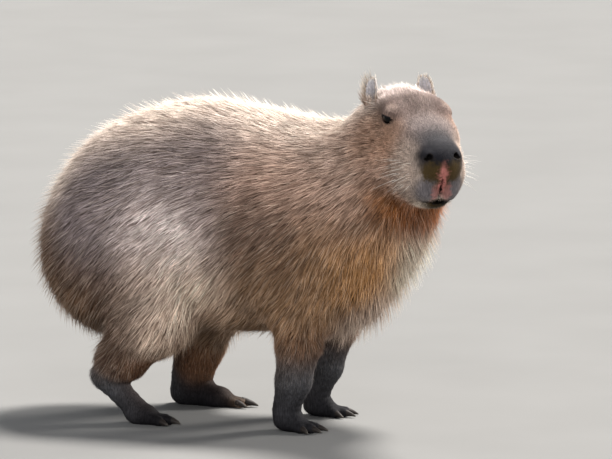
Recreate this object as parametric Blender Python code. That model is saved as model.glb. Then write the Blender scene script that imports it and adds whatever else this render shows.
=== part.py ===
"""A life-size capybara, standing square with its head turned to its right.

Metres, +Z up, the floor at z = 0. The animal faces -Y, so its right side is towards -X.
Points on the body are written as (side, fore, up): side is positive to the animal's left,
fore is positive towards its chest. Points on the head are (side, fore, up) in the head's own
frame, from the point midway between the eyes. All shapes run out to the tips of the coat.

The body is one rounded mass, modelled as blended ellipsoids and tapers, and is then parted
by thin cuts into head, jaw, nose, neck, trunk, legs and feet. Eyes, ears and claws are pieces
of their own, each let into the flesh with a thin gap around it.
"""

import math

import bmesh
import bpy
import numpy as np
import openvdb
from mathutils import Matrix, Vector

# The gap left wherever two pieces meet.
GAP = 0.0004

# Size of the cells in which the body is meshed, and the triangles that it is thinned to.
VOXEL = 0.004
BLOCK = 4
BODY_TRIANGLES = 3740
HEAD_WEIGHT, FOOT_WEIGHT, LEG_WEIGHT = 0.66, 0.80, 1.00

# Height below which a point of the body is set down on the floor.
SOLE_SNAP = 0.0012

# Where the body's middle lies in its own frame, so that the box around it is centred.
BODY_SHIFT = (0.0095, 0.0640)

# Trunk: centre (side, fore, up), half sizes (side, along, across) and the lean of each mass,
# in degrees, its rear end down.
TRUNK_MASSES = {
    "rump": ((0.0, -0.168, 0.370), (0.160, 0.205, 0.184), 24.0),
    "haunches": ((0.0, -0.222, 0.296), (0.148, 0.150, 0.150), 35.0),
    "barrel": ((0.0, -0.040, 0.386), (0.170, 0.260, 0.218), 4.0),
    "ribs": ((0.0, 0.110, 0.372), (0.150, 0.210, 0.198), 0.0),
    "brisket": ((0.0, 0.205, 0.330), (0.118, 0.135, 0.150), 0.0),
}
TRUNK_BLEND = 0.060

# Neck: (centre, radius) from the shoulders to the back of the skull.
NECK_POINTS = (
    ((0.000, 0.150, 0.398), 0.150),
    ((-0.004, 0.262, 0.432), 0.131),
    ((-0.032, 0.330, 0.510), 0.102),
)
NECK_BLEND = 0.070

# Head: place and direction. The yaw is to the animal's right, the pitch is downwards.
EYES_MIDPOINT = (-0.0896, 0.3927, 0.5994)
HEAD_YAW = math.radians(46.0)
HEAD_PITCH = math.radians(8.0)
CRANIUM = ((0.0, -0.035, -0.015), (0.064, 0.080, 0.058))
CRANIUM_SQUARENESS = 2.3
NAPE = ((0.0, -0.095, -0.050), (0.070, 0.070, 0.072))
FACE = ((0.0, 0.046, -0.060), (0.065, 0.075, 0.056))
JAW = ((0.012, 0.080, -0.116), (0.030, -0.030, -0.103), 0.030, 0.056)
BRIDGE = ((0.0, 0.000, -0.022), (0.0, 0.110, -0.061), 0.047, 0.040)
CHEEK = ((0.036, -0.020, -0.080), (0.046, 0.075, 0.068))
BROW = ((0.047, 0.016, 0.012), (0.016, 0.024, 0.012))
ORBIT = ((0.0720, 0.0175, -0.001), (0.0145, 0.0155, 0.0105))
MUZZLE = ((0.0, 0.085, -0.082), (0.054, 0.054, 0.060))
MUZZLE_SQUARENESS = 2.8
WHISKER_PAD = ((0.030, 0.100, -0.085), (0.029, 0.034, 0.036))
LIP = ((0.019, 0.121, -0.106), (0.021, 0.021, 0.024))
CHIN = ((0.0, 0.103, -0.130), (0.027, 0.034, 0.016))
THROAT = ((0.0, 0.005, -0.105), (0.055, 0.090, 0.048))
HEAD_BLEND = 0.030
NOSTRIL = ((0.0265, 0.139, -0.0386), (0.0060, 0.0100, 0.0070))
NOSE_CUTTER = ((0.0, 0.130, -0.040), (0.040, 0.026, 0.026))
MOUTH_HEIGHT = -0.1290
MOUTH_CORNER_FORE = 0.055

# Eyes and ears, in the head's frame.
EYE_CENTRE = (0.0515, 0.0160, 0.0)
EYE_RADIUS = 0.0135
EAR_BASE = (0.053, -0.074, 0.012)
EAR_LENGTH = 0.044
EAR_HALF_WIDTH = 0.0158
EAR_ROOT = -0.40
EAR_WIDEST = 0.35
EAR_CUP = 0.008
EAR_THICKNESS = 0.0040
EAR_SPREAD = math.radians(6.0)
EAR_TURN = math.radians(4.0)
EAR_LEAN = math.radians(14.0)

# Legs: (centre, radius) down each limb, and the place and heading of each foot.
FORE_LEGS = {
    "right": {
        "limb": (
            ((-0.086, 0.160, 0.300), 0.084),
            ((-0.094, 0.168, 0.175), 0.045),
            ((-0.092, 0.156, 0.095), 0.0335),
            ((-0.090, 0.140, 0.040), 0.0270),
        ),
        "ball": (-0.090, 0.150, 0.016),
        "turn": -4.0,
    },
    "left": {
        "limb": (
            ((0.086, 0.165, 0.300), 0.084),
            ((0.094, 0.165, 0.175), 0.043),
            ((0.090, 0.148, 0.095), 0.0320),
            ((0.087, 0.128, 0.040), 0.0260),
        ),
        "ball": (0.087, 0.138, 0.016),
        "turn": 6.0,
    },
}
HIND_LEGS = {
    "right": {
        "thigh": (((-0.062, -0.180, 0.365), 0.125), ((-0.098, -0.110, 0.235), 0.088)),
        "shank": (
            ((-0.114, -0.125, 0.200), 0.076),
            ((-0.115, -0.178, 0.125), 0.050),
            ((-0.114, -0.209, 0.092), 0.031),
        ),
        "heel": ((-0.114, -0.213, 0.082), 0.0250),
        "ball": (-0.116, -0.140, 0.016),
        "turn": -3.0,
    },
    "left": {
        "thigh": (((0.062, -0.165, 0.365), 0.125), ((0.098, -0.085, 0.235), 0.086)),
        "shank": (
            ((0.114, -0.095, 0.190), 0.066),
            ((0.115, -0.120, 0.115), 0.047),
            ((0.114, -0.135, 0.058), 0.041),
        ),
        "heel": ((0.114, -0.153, 0.024), 0.0270),
        "ball": (0.116, -0.084, 0.016),
        "turn": 6.0,
    },
}
LEG_BLEND = 0.040
JOINT_BLEND = 0.014
ANKLE_BLEND = 0.018
PAW_PAD = (0.027, 0.033, 0.019)
TOE_RADII = (0.0125, 0.0100)
TOE_BLEND = 0.006
SOLE_FLAT = 0.0015

# Toes: (angle from the foot's heading in degrees, reach from the ball) from inside to outside.
FORE_TOES = ((-30.0, 0.037), (-9.0, 0.048), (12.0, 0.047), (33.0, 0.036))
HIND_TOES = ((-20.0, 0.045), (0.0, 0.056), (20.0, 0.046))
CLAW_LENGTH = 0.024
CLAW_RADIUS = 0.0062
CLAW_SINK = 0.010
CLAW_DROOP = 0.35

# Cuts: the plane behind the ears, the plane before the shoulders, the height at which each
# leg leaves the coat, and where a leg's own joints part it.
HEAD_CUT_POINT = (0.0, -0.114, 0.020)
HEAD_CUT_YAW = math.radians(30.0)
HEAD_CUT_LEAN = math.radians(32.0)
NECK_CUT_POINT = (0.0, 0.212, 0.430)
NECK_CUT_LEAN = math.radians(26.0)
FORE_LEG_TOP = 0.156
WRIST_HEIGHT = 0.050
THIGH = ((0.126, -0.115, 0.235), (0.104, 0.150, 0.160))
SHANK_TOP = 0.139
SHANK_INSIDE = 0.022
ANKLE_HEIGHT = {"right": 0.088, "left": 0.056}

# Finish of each kind of piece: colour (linear), roughness.
FINISHES = {
    "coat": ((0.36, 0.22, 0.12), 0.85),
    "leg_coat": ((0.16, 0.10, 0.065), 0.80),
    "nose_skin": ((0.045, 0.035, 0.035), 0.55),
    "ear_skin": ((0.14, 0.11, 0.10), 0.75),
    "claw_horn": ((0.055, 0.045, 0.038), 0.45),
    "eye_gloss": ((0.010, 0.008, 0.007), 0.08),
}


def at(side, fore, up):
    """A point of the body's frame in the scene's axes."""
    return np.array([side + BODY_SHIFT[0], BODY_SHIFT[1] - fore, up])


def head_axes():
    """The head's left, forward and up directions, as the columns of a matrix."""
    heading = np.array([-math.sin(HEAD_YAW), -math.cos(HEAD_YAW), 0.0])
    upright = np.array([0.0, 0.0, 1.0])
    forward = heading * math.cos(HEAD_PITCH) - upright * math.sin(HEAD_PITCH)
    up = heading * math.sin(HEAD_PITCH) + upright * math.cos(HEAD_PITCH)
    return np.stack([np.cross(forward, up) * -1.0, forward, up], axis=1)


def in_head(point):
    """A point of the head's frame in the scene's axes."""
    return at(*EYES_MIDPOINT) + head_axes() @ np.array(point)


def ellipsoid(points, centre, half_sizes, power=2.0):
    """Distance, near the surface, to an ellipsoid; a higher power makes it boxier."""
    local = np.abs((points - centre) / half_sizes)
    size = (local**power).sum(axis=1) ** (1.0 / power)
    slope = np.linalg.norm((points - centre) / np.square(half_sizes), axis=1)
    return size * (size - 1.0) / np.maximum(slope, 1e-6)


def taper(points, start, end, start_radius, end_radius):
    """Distance to a round bar that tapers from one ball to another."""
    along = end - start
    share = np.clip((points - start) @ along / (along @ along), 0.0, 1.0)
    nearest = start + share[:, None] * along
    radius = start_radius + (end_radius - start_radius) * share
    return np.linalg.norm(points - nearest, axis=1) - radius


def blend(first, second, reach):
    """Union of two fields, with a fillet about as wide as reach."""
    overlap = np.maximum(reach - np.abs(first - second), 0.0) / reach
    return np.minimum(first, second) - overlap * overlap * reach * 0.25


def carve(field, hole, reach):
    """A field with a hole taken out, and its rim rounded."""
    return -blend(-field, hole, reach)


def chain(points, stations, reach):
    """Tapers from each (centre, radius) to the next, blended."""
    field = None
    for (start, start_radius), (end, end_radius) in zip(stations, stations[1:]):
        bar = taper(points, at(*start), at(*end), start_radius, end_radius)
        field = bar if field is None else blend(field, bar, reach)
    return field


def trunk_field(points):
    """Rump, haunches, barrel, ribs and brisket."""
    field = None
    for centre, half_sizes, lean in TRUNK_MASSES.values():
        turn = math.radians(lean)
        along = np.array([0.0, math.cos(turn), -math.sin(turn)])
        across = np.array([0.0, math.sin(turn), math.cos(turn)])
        local = (points - at(*centre)) @ np.stack([(1.0, 0.0, 0.0), along, across], axis=1)
        mass = ellipsoid(local, np.zeros(3), np.array(half_sizes))
        field = mass if field is None else blend(field, mass, TRUNK_BLEND)
    return field


def head_field(points):
    """Skull, bridge of the nose, cheeks, brows, muzzle, lips, chin and nostrils."""
    local = (points - at(*EYES_MIDPOINT)) @ head_axes()
    pairs = local.copy()
    pairs[:, 0] = np.abs(pairs[:, 0])
    field = ellipsoid(local, *map(np.array, CRANIUM), power=CRANIUM_SQUARENESS)
    field = blend(field, ellipsoid(local, *map(np.array, NAPE)), 0.040)
    field = blend(field, taper(local, np.array(BRIDGE[0]), np.array(BRIDGE[1]), *BRIDGE[2:]), HEAD_BLEND)
    field = blend(field, ellipsoid(local, *map(np.array, FACE)), 0.025)
    field = blend(field, ellipsoid(pairs, *map(np.array, CHEEK)), 0.035)
    field = blend(field, ellipsoid(local, *map(np.array, MUZZLE), power=MUZZLE_SQUARENESS), HEAD_BLEND)
    field = blend(field, taper(pairs, np.array(JAW[0]), np.array(JAW[1]), *JAW[2:]), 0.020)
    field = blend(field, ellipsoid(local, *map(np.array, THROAT)), 0.040)
    field = blend(field, ellipsoid(pairs, *map(np.array, WHISKER_PAD)), 0.016)
    field = blend(field, ellipsoid(pairs, *map(np.array, BROW)), 0.012)
    field = blend(field, ellipsoid(local, *map(np.array, CHIN)), 0.012)
    field = blend(field, ellipsoid(pairs, *map(np.array, LIP)), 0.010)
    field = carve(field, ellipsoid(pairs, *map(np.array, ORBIT)), 0.005)
    return carve(field, ellipsoid(pairs, *map(np.array, NOSTRIL)), 0.004)


def toe_ends(ball, turn, toes):
    """Start and end of each toe of a foot, at toe height."""
    ends = []
    for angle, reach in toes:
        heading = math.radians(angle + turn)
        way = np.array([math.sin(heading), math.cos(heading)])
        start = (ball[0] + 0.008 * way[0], ball[1] + 0.008 * way[1], TOE_RADII[0] - SOLE_FLAT)
        end = (ball[0] + reach * way[0], ball[1] + reach * way[1], TOE_RADII[1] - SOLE_FLAT)
        ends.append((start, end))
    return ends


def toes_field(points, ball, turn, toes):
    """The pad of a foot and its toes."""
    field = ellipsoid(points, at(*ball), np.array(PAW_PAD))
    for start, end in toe_ends(ball, turn, toes):
        toe = taper(points, at(*start), at(*end), *TOE_RADII)
        field = blend(field, toe, TOE_BLEND)
    return field


def toes_of(side, toes):
    """The toe list with its angles turned over for the right foot."""
    return toes if side == "left" else tuple((-angle, reach) for angle, reach in toes)


def fore_leg_field(points, side, leg):
    """Upper arm, forearm, wrist and paw."""
    limb = chain(points, leg["limb"], JOINT_BLEND)
    paw = toes_field(points, leg["ball"], leg["turn"], toes_of(side, FORE_TOES))
    return blend(limb, paw, ANKLE_BLEND)


def hind_leg_field(points, side, leg):
    """Thigh, shank, heel and foot."""
    thigh, shank = chain(points, leg["thigh"], JOINT_BLEND), chain(points, leg["shank"], JOINT_BLEND)
    limb = blend(thigh, shank, LEG_BLEND)
    heel, radius = leg["heel"]
    sole = taper(points, at(*heel), at(*leg["ball"]), radius, 0.022)
    foot = blend(sole, toes_field(points, leg["ball"], leg["turn"], toes_of(side, HIND_TOES)), 0.012)
    return blend(limb, foot, ANKLE_BLEND)


def body_field(points):
    """The whole animal, but for its ears, eyes and claws, standing on flat soles."""
    field = blend(trunk_field(points), chain(points, NECK_POINTS, NECK_BLEND), NECK_BLEND)
    field = blend(field, head_field(points), 0.035)
    for side, leg in FORE_LEGS.items():
        field = blend(field, fore_leg_field(points, side, leg), LEG_BLEND)
    for side, leg in HIND_LEGS.items():
        field = blend(field, hind_leg_field(points, side, leg), LEG_BLEND)
    return np.maximum(field, -points[:, 2])


def grid_of(field, low, high):
    """The field on a regular grid, worked out only in the blocks near its surface."""
    block = VOXEL * BLOCK
    count = np.ceil((high - low) / block).astype(int)
    band = 3.0 * VOXEL
    corners = np.indices(count).reshape(3, -1).T
    coarse = field(low + (corners + 0.5) * block)
    near = np.abs(coarse) < 1.6 * block + band
    values = np.where(coarse < 0.0, -band, band).astype(np.float32).reshape(count)
    for axis in range(3):
        values = np.repeat(values, BLOCK, axis=axis)
    steps = np.indices((BLOCK, BLOCK, BLOCK)).reshape(3, -1).T
    cells = (corners[near][:, None, :] * BLOCK + steps[None, :, :]).reshape(-1, 3)
    fine = np.clip(field(low + cells * VOXEL), -band, band)
    values[cells[:, 0], cells[:, 1], cells[:, 2]] = fine
    return values, band


def mesh_of(name, field, low, high):
    """A closed mesh of the surface where the field is zero."""
    values, band = grid_of(field, low, high)
    grid = openvdb.FloatGrid(band)
    grid.copyFromArray(values)
    grid.transform = openvdb.createLinearTransform(voxelSize=VOXEL)
    points, quads = grid.convertToQuads(isovalue=0.0)
    mesh = bpy.data.meshes.new(name)
    mesh.from_pydata((points + low).tolist(), [], quads.tolist())
    return cleaned(mesh)


def cleaned(mesh):
    """The mesh with its faces pointing outwards."""
    shape = bmesh.new()
    shape.from_mesh(mesh)
    bmesh.ops.recalc_face_normals(shape, faces=shape.faces)
    shape.to_mesh(mesh)
    shape.free()
    return mesh


def new_object(name, mesh):
    """An object in the scene that shows this mesh."""
    obj = bpy.data.objects.new(name, mesh)
    bpy.context.scene.collection.objects.link(obj)
    return obj


def settled(obj):
    """Replaces an object's mesh by what its modifiers make of it."""
    bpy.context.view_layer.update()
    graph = bpy.context.evaluated_depsgraph_get()
    mesh = bpy.data.meshes.new_from_object(obj.evaluated_get(graph), depsgraph=graph)
    obj.modifiers.clear()
    obj.data = mesh
    return obj


def whole_body():
    """The body as one object, with its triangles kept for the head and the feet."""
    low, high = at(-0.26, 0.62, -0.02), at(0.24, -0.44, 0.72)
    low, high = np.minimum(low, high), np.maximum(low, high)
    body = new_object("whole_body", mesh_of("whole_body", body_field, low, high))
    coarse = body.vertex_groups.new(name="coarse")
    face_middle = Vector(in_head((0.0, 0.06, -0.04)))
    for vertex in body.data.vertices:
        weight = 1.0
        if (vertex.co - face_middle).length < 0.125:
            weight = HEAD_WEIGHT
        elif vertex.co.z < 0.180:
            weight = FOOT_WEIGHT if vertex.co.z < 0.060 else LEG_WEIGHT
        coarse.add([vertex.index], weight, "REPLACE")
    thin = body.modifiers.new("thin", "DECIMATE")
    thin.vertex_group = "coarse"
    thin.vertex_group_factor = 1.0
    thin.ratio = BODY_TRIANGLES / (2.0 * len(body.data.polygons))
    settled(body)
    for vertex in body.data.vertices:
        vertex.co.z = 0.0 if vertex.co.z < SOLE_SNAP else vertex.co.z
    return body


def boolean(obj, other, operation):
    """Adds or takes away another object's shape, and settles the result."""
    cut = obj.modifiers.new(operation.lower(), "BOOLEAN")
    cut.operation = operation
    cut.object = other
    cut.solver = "EXACT"
    return settled(obj)


def swollen(obj, by):
    """A copy of an object, grown along its normals."""
    copy = new_object(obj.name + "_swollen", obj.data.copy())
    copy.matrix_world = obj.matrix_world.copy()
    copy.modifiers.clear()
    grow = copy.modifiers.new("grow", "DISPLACE")
    grow.strength = by
    grow.mid_level = 0.0
    return settled(copy)


def remove(obj):
    """Takes a helper out of the scene."""
    bpy.data.objects.remove(obj)


def box_cutter(frame, low, high, grown=0.0):
    """A box between two corners of a frame, grown on every side."""
    low = Vector(low) - Vector((grown, grown, grown))
    high = Vector(high) + Vector((grown, grown, grown))
    mesh = bpy.data.meshes.new("box")
    shape = bmesh.new()
    bmesh.ops.create_cube(shape, size=1.0)
    place = frame @ Matrix.Translation((low + high) / 2) @ Matrix.Diagonal((*(high - low), 1.0))
    bmesh.ops.transform(shape, matrix=place, verts=shape.verts)
    bmesh.ops.recalc_face_normals(shape, faces=shape.faces)
    shape.to_mesh(mesh)
    shape.free()
    return new_object("box", mesh)


def part_off(whole, name, cutter_of):
    """Cuts one named piece from the whole. cutter_of(grown) makes the cutter, that much larger."""
    piece = new_object(name, whole.data.copy())
    cutter = cutter_of(0.0)
    boolean(piece, cutter, "INTERSECT")
    remove(cutter)
    cutter = cutter_of(GAP)
    boolean(whole, cutter, "DIFFERENCE")
    remove(cutter)
    return piece


def head_frame():
    """The head's frame as a matrix with axes side, fore and up."""
    axes = head_axes()
    return Matrix.Translation(in_head((0.0, 0.0, 0.0)).tolist()) @ Matrix(axes.tolist()).to_4x4()


def body_frame():
    """The body's frame as a matrix with axes side, fore and up."""
    return Matrix.Translation(at(0.0, 0.0, 0.0).tolist()) @ Matrix.Diagonal((1.0, -1.0, 1.0, 1.0))


def tilted_frame(point, angle):
    """A frame at a point of the body, leaned about the side axis."""
    lean = Matrix.Rotation(angle, 4, "X")
    return body_frame() @ Matrix.Translation(point) @ lean


def ellipsoid_cutter(frame, centre, half_sizes, grown=0.0):
    """A smooth ellipsoid in a frame, to cut a rounded piece."""
    mesh = bpy.data.meshes.new("ellipsoid")
    shape = bmesh.new()
    bmesh.ops.create_uvsphere(shape, u_segments=20, v_segments=12, radius=1.0)
    size = Matrix.Diagonal((*(half + grown for half in half_sizes), 1.0))
    place = frame @ Matrix.Translation(centre) @ size
    bmesh.ops.transform(shape, matrix=place, verts=shape.verts)
    bmesh.ops.recalc_face_normals(shape, faces=shape.faces)
    shape.to_mesh(mesh)
    shape.free()
    return new_object("ellipsoid", mesh)


def part_head(body):
    """Parts the head from the neck, then the nose and the lower jaw from the head."""
    frame = head_frame()
    cut = head_cut_frame()
    head = part_off(body, "head", lambda grown: box_cutter(cut, (-0.4, 0.0, -0.4), (0.4, 0.5, 0.4), grown))
    nose = part_off(head, "nose", lambda grown: ellipsoid_cutter(frame, *NOSE_CUTTER, grown))
    jaw_low, jaw_high = (-0.2, MOUTH_CORNER_FORE, -0.3), (0.2, 0.4, MOUTH_HEIGHT)
    jaw = part_off(head, "lower_jaw", lambda grown: box_cutter(frame, jaw_low, jaw_high, grown))
    return [head, nose, jaw]


def head_cut_frame():
    """A frame behind the ears, whose forward axis stands square to the cut of the head."""
    yaw = Matrix.Rotation(-HEAD_CUT_YAW, 4, "Z")
    lean = Matrix.Rotation(HEAD_CUT_LEAN, 4, "X")
    return Matrix.Translation(in_head(HEAD_CUT_POINT)) @ yaw @ Matrix.Diagonal((1.0, -1.0, 1.0, 1.0)) @ lean


def part_neck(body):
    """Parts the neck from the trunk by a plane that leans forwards."""
    frame = tilted_frame(NECK_CUT_POINT, NECK_CUT_LEAN)
    low, high = (-0.3, 0.0, -0.3), (0.3, 0.5, 0.4)
    return part_off(body, "neck", lambda grown: box_cutter(frame, low, high, grown))


def part_fore_leg(body, side):
    """Parts a fore leg below the brisket and its foot at the wrist."""
    sign = 1.0 if side == "left" else -1.0
    frame = body_frame() @ Matrix.Diagonal((sign, 1.0, 1.0, 1.0))
    low, elbow, wrist = (0.0, 0.04, -0.1), (0.3, 0.3, FORE_LEG_TOP), (0.3, 0.3, WRIST_HEIGHT)
    leg = part_off(body, "fore_leg_" + side, lambda grown: box_cutter(frame, low, elbow, grown))
    foot = part_off(leg, "fore_foot_" + side, lambda grown: box_cutter(frame, low, wrist, grown))
    return [leg, foot]


def part_hind_leg(body, side):
    """Parts the shank below the coat, the foot at the ankle, and then the rounded thigh."""
    sign = 1.0 if side == "left" else -1.0
    frame = body_frame() @ Matrix.Diagonal((sign, 1.0, 1.0, 1.0))
    low = (SHANK_INSIDE, -0.5, -0.1)
    top, ankle = (0.3, -0.005, SHANK_TOP), (0.3, -0.005, ANKLE_HEIGHT[side])
    shank = part_off(body, "shank_" + side, lambda grown: box_cutter(frame, low, top, grown))
    foot = part_off(shank, "hind_foot_" + side, lambda grown: box_cutter(frame, low, ankle, grown))
    thigh = part_off(body, "thigh_" + side, lambda grown: ellipsoid_cutter(frame, *THIGH, grown))
    return [thigh, shank, foot]


def make_eye(head, side, sign):
    """An eyeball, and its socket in the head."""
    mesh = bpy.data.meshes.new("eye_" + side)
    shape = bmesh.new()
    bmesh.ops.create_uvsphere(shape, u_segments=14, v_segments=8, radius=EYE_RADIUS)
    turn = Matrix.Rotation(math.radians(90.0), 4, "Y")
    centre = Matrix.Translation((sign * EYE_CENTRE[0], EYE_CENTRE[1], EYE_CENTRE[2]))
    bmesh.ops.transform(shape, matrix=head_frame() @ centre @ turn, verts=shape.verts)
    bmesh.ops.recalc_face_normals(shape, faces=shape.faces)
    shape.to_mesh(mesh)
    shape.free()
    eye = new_object("eye_" + side, mesh)
    socket = swollen(eye, GAP)
    boolean(head, socket, "DIFFERENCE")
    remove(socket)
    return eye


def ear_shape(sign):
    """The cupped leaf of an ear, round at its top, as a sheet in the ear's own frame."""
    rows, columns = 8, 7
    shape = bmesh.new()
    rings = []
    for row in range(rows):
        height = EAR_ROOT + (1.0 - EAR_ROOT) * math.sin(0.5 * math.pi * row / (rows - 1))
        swell = max(height - EAR_WIDEST, 0.0) / (1.0 - EAR_WIDEST)
        width = EAR_HALF_WIDTH * max(math.sqrt(1.0 - swell * swell), 0.22)
        ring = []
        for column in range(columns):
            across = 2.0 * column / (columns - 1) - 1.0
            curl = EAR_CUP * across * across * (width / EAR_HALF_WIDTH)
            ring.append(shape.verts.new((sign * width * across, curl, EAR_LENGTH * height)))
        rings.append(ring)
    for lower, upper in zip(rings, rings[1:]):
        for column in range(columns - 1):
            shape.faces.new((lower[column], lower[column + 1], upper[column + 1], upper[column]))
    mesh = bpy.data.meshes.new("ear")
    shape.to_mesh(mesh)
    shape.free()
    return mesh


def make_ear(flesh, side, sign):
    """An ear leaf with its foot trimmed to the head."""
    ear = new_object("ear_" + side, ear_shape(sign))
    thick = ear.modifiers.new("thick", "SOLIDIFY")
    thick.thickness = EAR_THICKNESS
    thick.offset = 0.0
    settled(ear)
    outwards = Matrix.Rotation(sign * EAR_SPREAD, 4, "Y")
    facing = Matrix.Rotation(-sign * EAR_TURN, 4, "Z")
    leaning = Matrix.Rotation(EAR_LEAN, 4, "X")
    base = Matrix.Translation((sign * EAR_BASE[0], EAR_BASE[1], EAR_BASE[2]))
    ear.data.transform(head_frame() @ base @ outwards @ leaning @ facing)
    cleaned(ear.data)
    outside = swollen(flesh, GAP)
    boolean(ear, outside, "DIFFERENCE")
    remove(outside)
    return ear


def make_claw(name, start, end):
    """A stout curved claw that grows out of the end of a toe."""
    rings, sides = 4, 6
    start, end = Vector(at(*start)), Vector(at(*end))
    forward = (end - start).normalized()
    across = forward.cross(Vector((0.0, 0.0, 1.0))).normalized()
    shape = bmesh.new()
    loops = []
    for ring in range(rings):
        share = ring / (rings - 1)
        reach = CLAW_LENGTH * share - CLAW_SINK + TOE_RADII[1]
        drop = CLAW_DROOP * CLAW_LENGTH * share * share * 0.5
        radius = CLAW_RADIUS * (1.0 - 0.72 * share**1.6)
        middle = end + forward * reach - Vector((0.0, 0.0, drop - 0.001))
        middle.z = max(middle.z, radius + 0.0015)
        loop = []
        for side in range(sides):
            angle = math.tau * side / sides
            offset = across * math.cos(angle) * radius * 1.15 + Vector((0.0, 0.0, math.sin(angle) * radius))
            loop.append(shape.verts.new(middle + offset))
        loops.append(loop)
    for lower, upper in zip(loops, loops[1:]):
        for side in range(sides):
            following = (side + 1) % sides
            shape.faces.new((lower[side], lower[following], upper[following], upper[side]))
    shape.faces.new(loops[0])
    shape.faces.new(loops[-1])
    bmesh.ops.recalc_face_normals(shape, faces=shape.faces)
    mesh = bpy.data.meshes.new(name)
    shape.to_mesh(mesh)
    shape.free()
    return new_object(name, mesh)


def make_claws(foot, prefix, ball, turn, toes):
    """All the claws of a foot, each in a socket of its own."""
    claws = []
    for number, (start, end) in enumerate(toe_ends(ball, turn, toes), start=1):
        claw = make_claw(f"{prefix}_{number}", start, end)
        socket = swollen(claw, GAP)
        boolean(foot, socket, "DIFFERENCE")
        remove(socket)
        claws.append(claw)
    return claws


def finish(name):
    """The material of one kind of piece, made once."""
    found = bpy.data.materials.get(name)
    if found:
        return found
    colour, roughness = FINISHES[name]
    material = bpy.data.materials.new(name)
    material.use_nodes = True
    shader = material.node_tree.nodes["Principled BSDF"]
    shader.inputs["Base Color"].default_value = (*colour, 1.0)
    shader.inputs["Roughness"].default_value = roughness
    shader.inputs["Metallic"].default_value = 0.0
    material.diffuse_color = (*colour, 1.0)
    return material


def dress(pieces, name):
    """Gives pieces their material and smooth shading."""
    for piece in pieces:
        piece.data.materials.clear()
        piece.data.materials.append(finish(name))
        piece.data.shade_smooth()
        piece.data.set_sharp_from_angle(angle=math.radians(50.0))


def main():
    """Builds the animal and parts it."""
    for obj in list(bpy.data.objects):
        bpy.data.objects.remove(obj)
    body = whole_body()
    ears = [make_ear(body, side, sign) for side, sign in (("left", 1.0), ("right", -1.0))]
    head, nose, jaw = part_head(body)
    eyes = [make_eye(head, side, sign) for side, sign in (("left", 1.0), ("right", -1.0))]
    neck = part_neck(body)
    coated, bare, claws = [head, jaw, neck], [], []
    for side, leg in FORE_LEGS.items():
        upper, foot = part_fore_leg(body, side)
        bare += [upper, foot]
        claws += make_claws(foot, "fore_claw_" + side, leg["ball"], leg["turn"], toes_of(side, FORE_TOES))
    for side, leg in HIND_LEGS.items():
        thigh, shank, foot = part_hind_leg(body, side)
        coated.append(thigh)
        bare += [shank, foot]
        claws += make_claws(foot, "hind_claw_" + side, leg["ball"], leg["turn"], toes_of(side, HIND_TOES))
    body.name = "trunk"
    dress([*coated, body], "coat")
    dress(bare, "leg_coat")
    dress([nose], "nose_skin")
    dress(ears, "ear_skin")
    dress(claws, "claw_horn")
    dress(eyes, "eye_gloss")


if __name__ == "__main__":
    main()
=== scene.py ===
"""Looks of a life-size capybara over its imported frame: one skin, a coat of tufts, eyes, ears,
whiskers and claws, on a plain floor in soft light.

Metres, +Z up. Points on the body are (side, fore, up), side towards the animal's left and fore
towards its chest. Points on the head are (side, fore, up) from midway between the eyes, along
the head's own axes. Angles in named sizes are in degrees.
"""

import logging
import math
from dataclasses import dataclass, field
from enum import Enum
from typing import Callable

import bmesh
import bpy
import numpy as np
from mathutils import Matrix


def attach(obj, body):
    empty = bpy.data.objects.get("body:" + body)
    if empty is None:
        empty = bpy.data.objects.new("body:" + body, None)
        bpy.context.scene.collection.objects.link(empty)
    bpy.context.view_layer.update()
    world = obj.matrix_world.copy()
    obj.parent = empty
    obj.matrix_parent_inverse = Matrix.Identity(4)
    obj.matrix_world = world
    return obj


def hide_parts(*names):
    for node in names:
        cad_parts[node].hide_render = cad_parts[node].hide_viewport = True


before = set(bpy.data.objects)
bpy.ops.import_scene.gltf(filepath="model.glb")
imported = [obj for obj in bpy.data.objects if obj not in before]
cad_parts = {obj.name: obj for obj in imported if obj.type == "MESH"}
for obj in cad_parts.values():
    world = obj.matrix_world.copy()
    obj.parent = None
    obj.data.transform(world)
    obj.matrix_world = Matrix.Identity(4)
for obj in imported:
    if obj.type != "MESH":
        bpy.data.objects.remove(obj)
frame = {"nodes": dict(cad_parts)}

import openvdb
from mathutils import Matrix, Vector
from mathutils.kdtree import KDTree

log = logging.getLogger("capybara")

Triple = tuple[float, float, float]
Field = Callable[[np.ndarray], np.ndarray]

SEED = 20260
BODY_SHIFT = (0.0095, 0.0640)
SIDES = {"left": 1.0, "right": -1.0}


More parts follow.
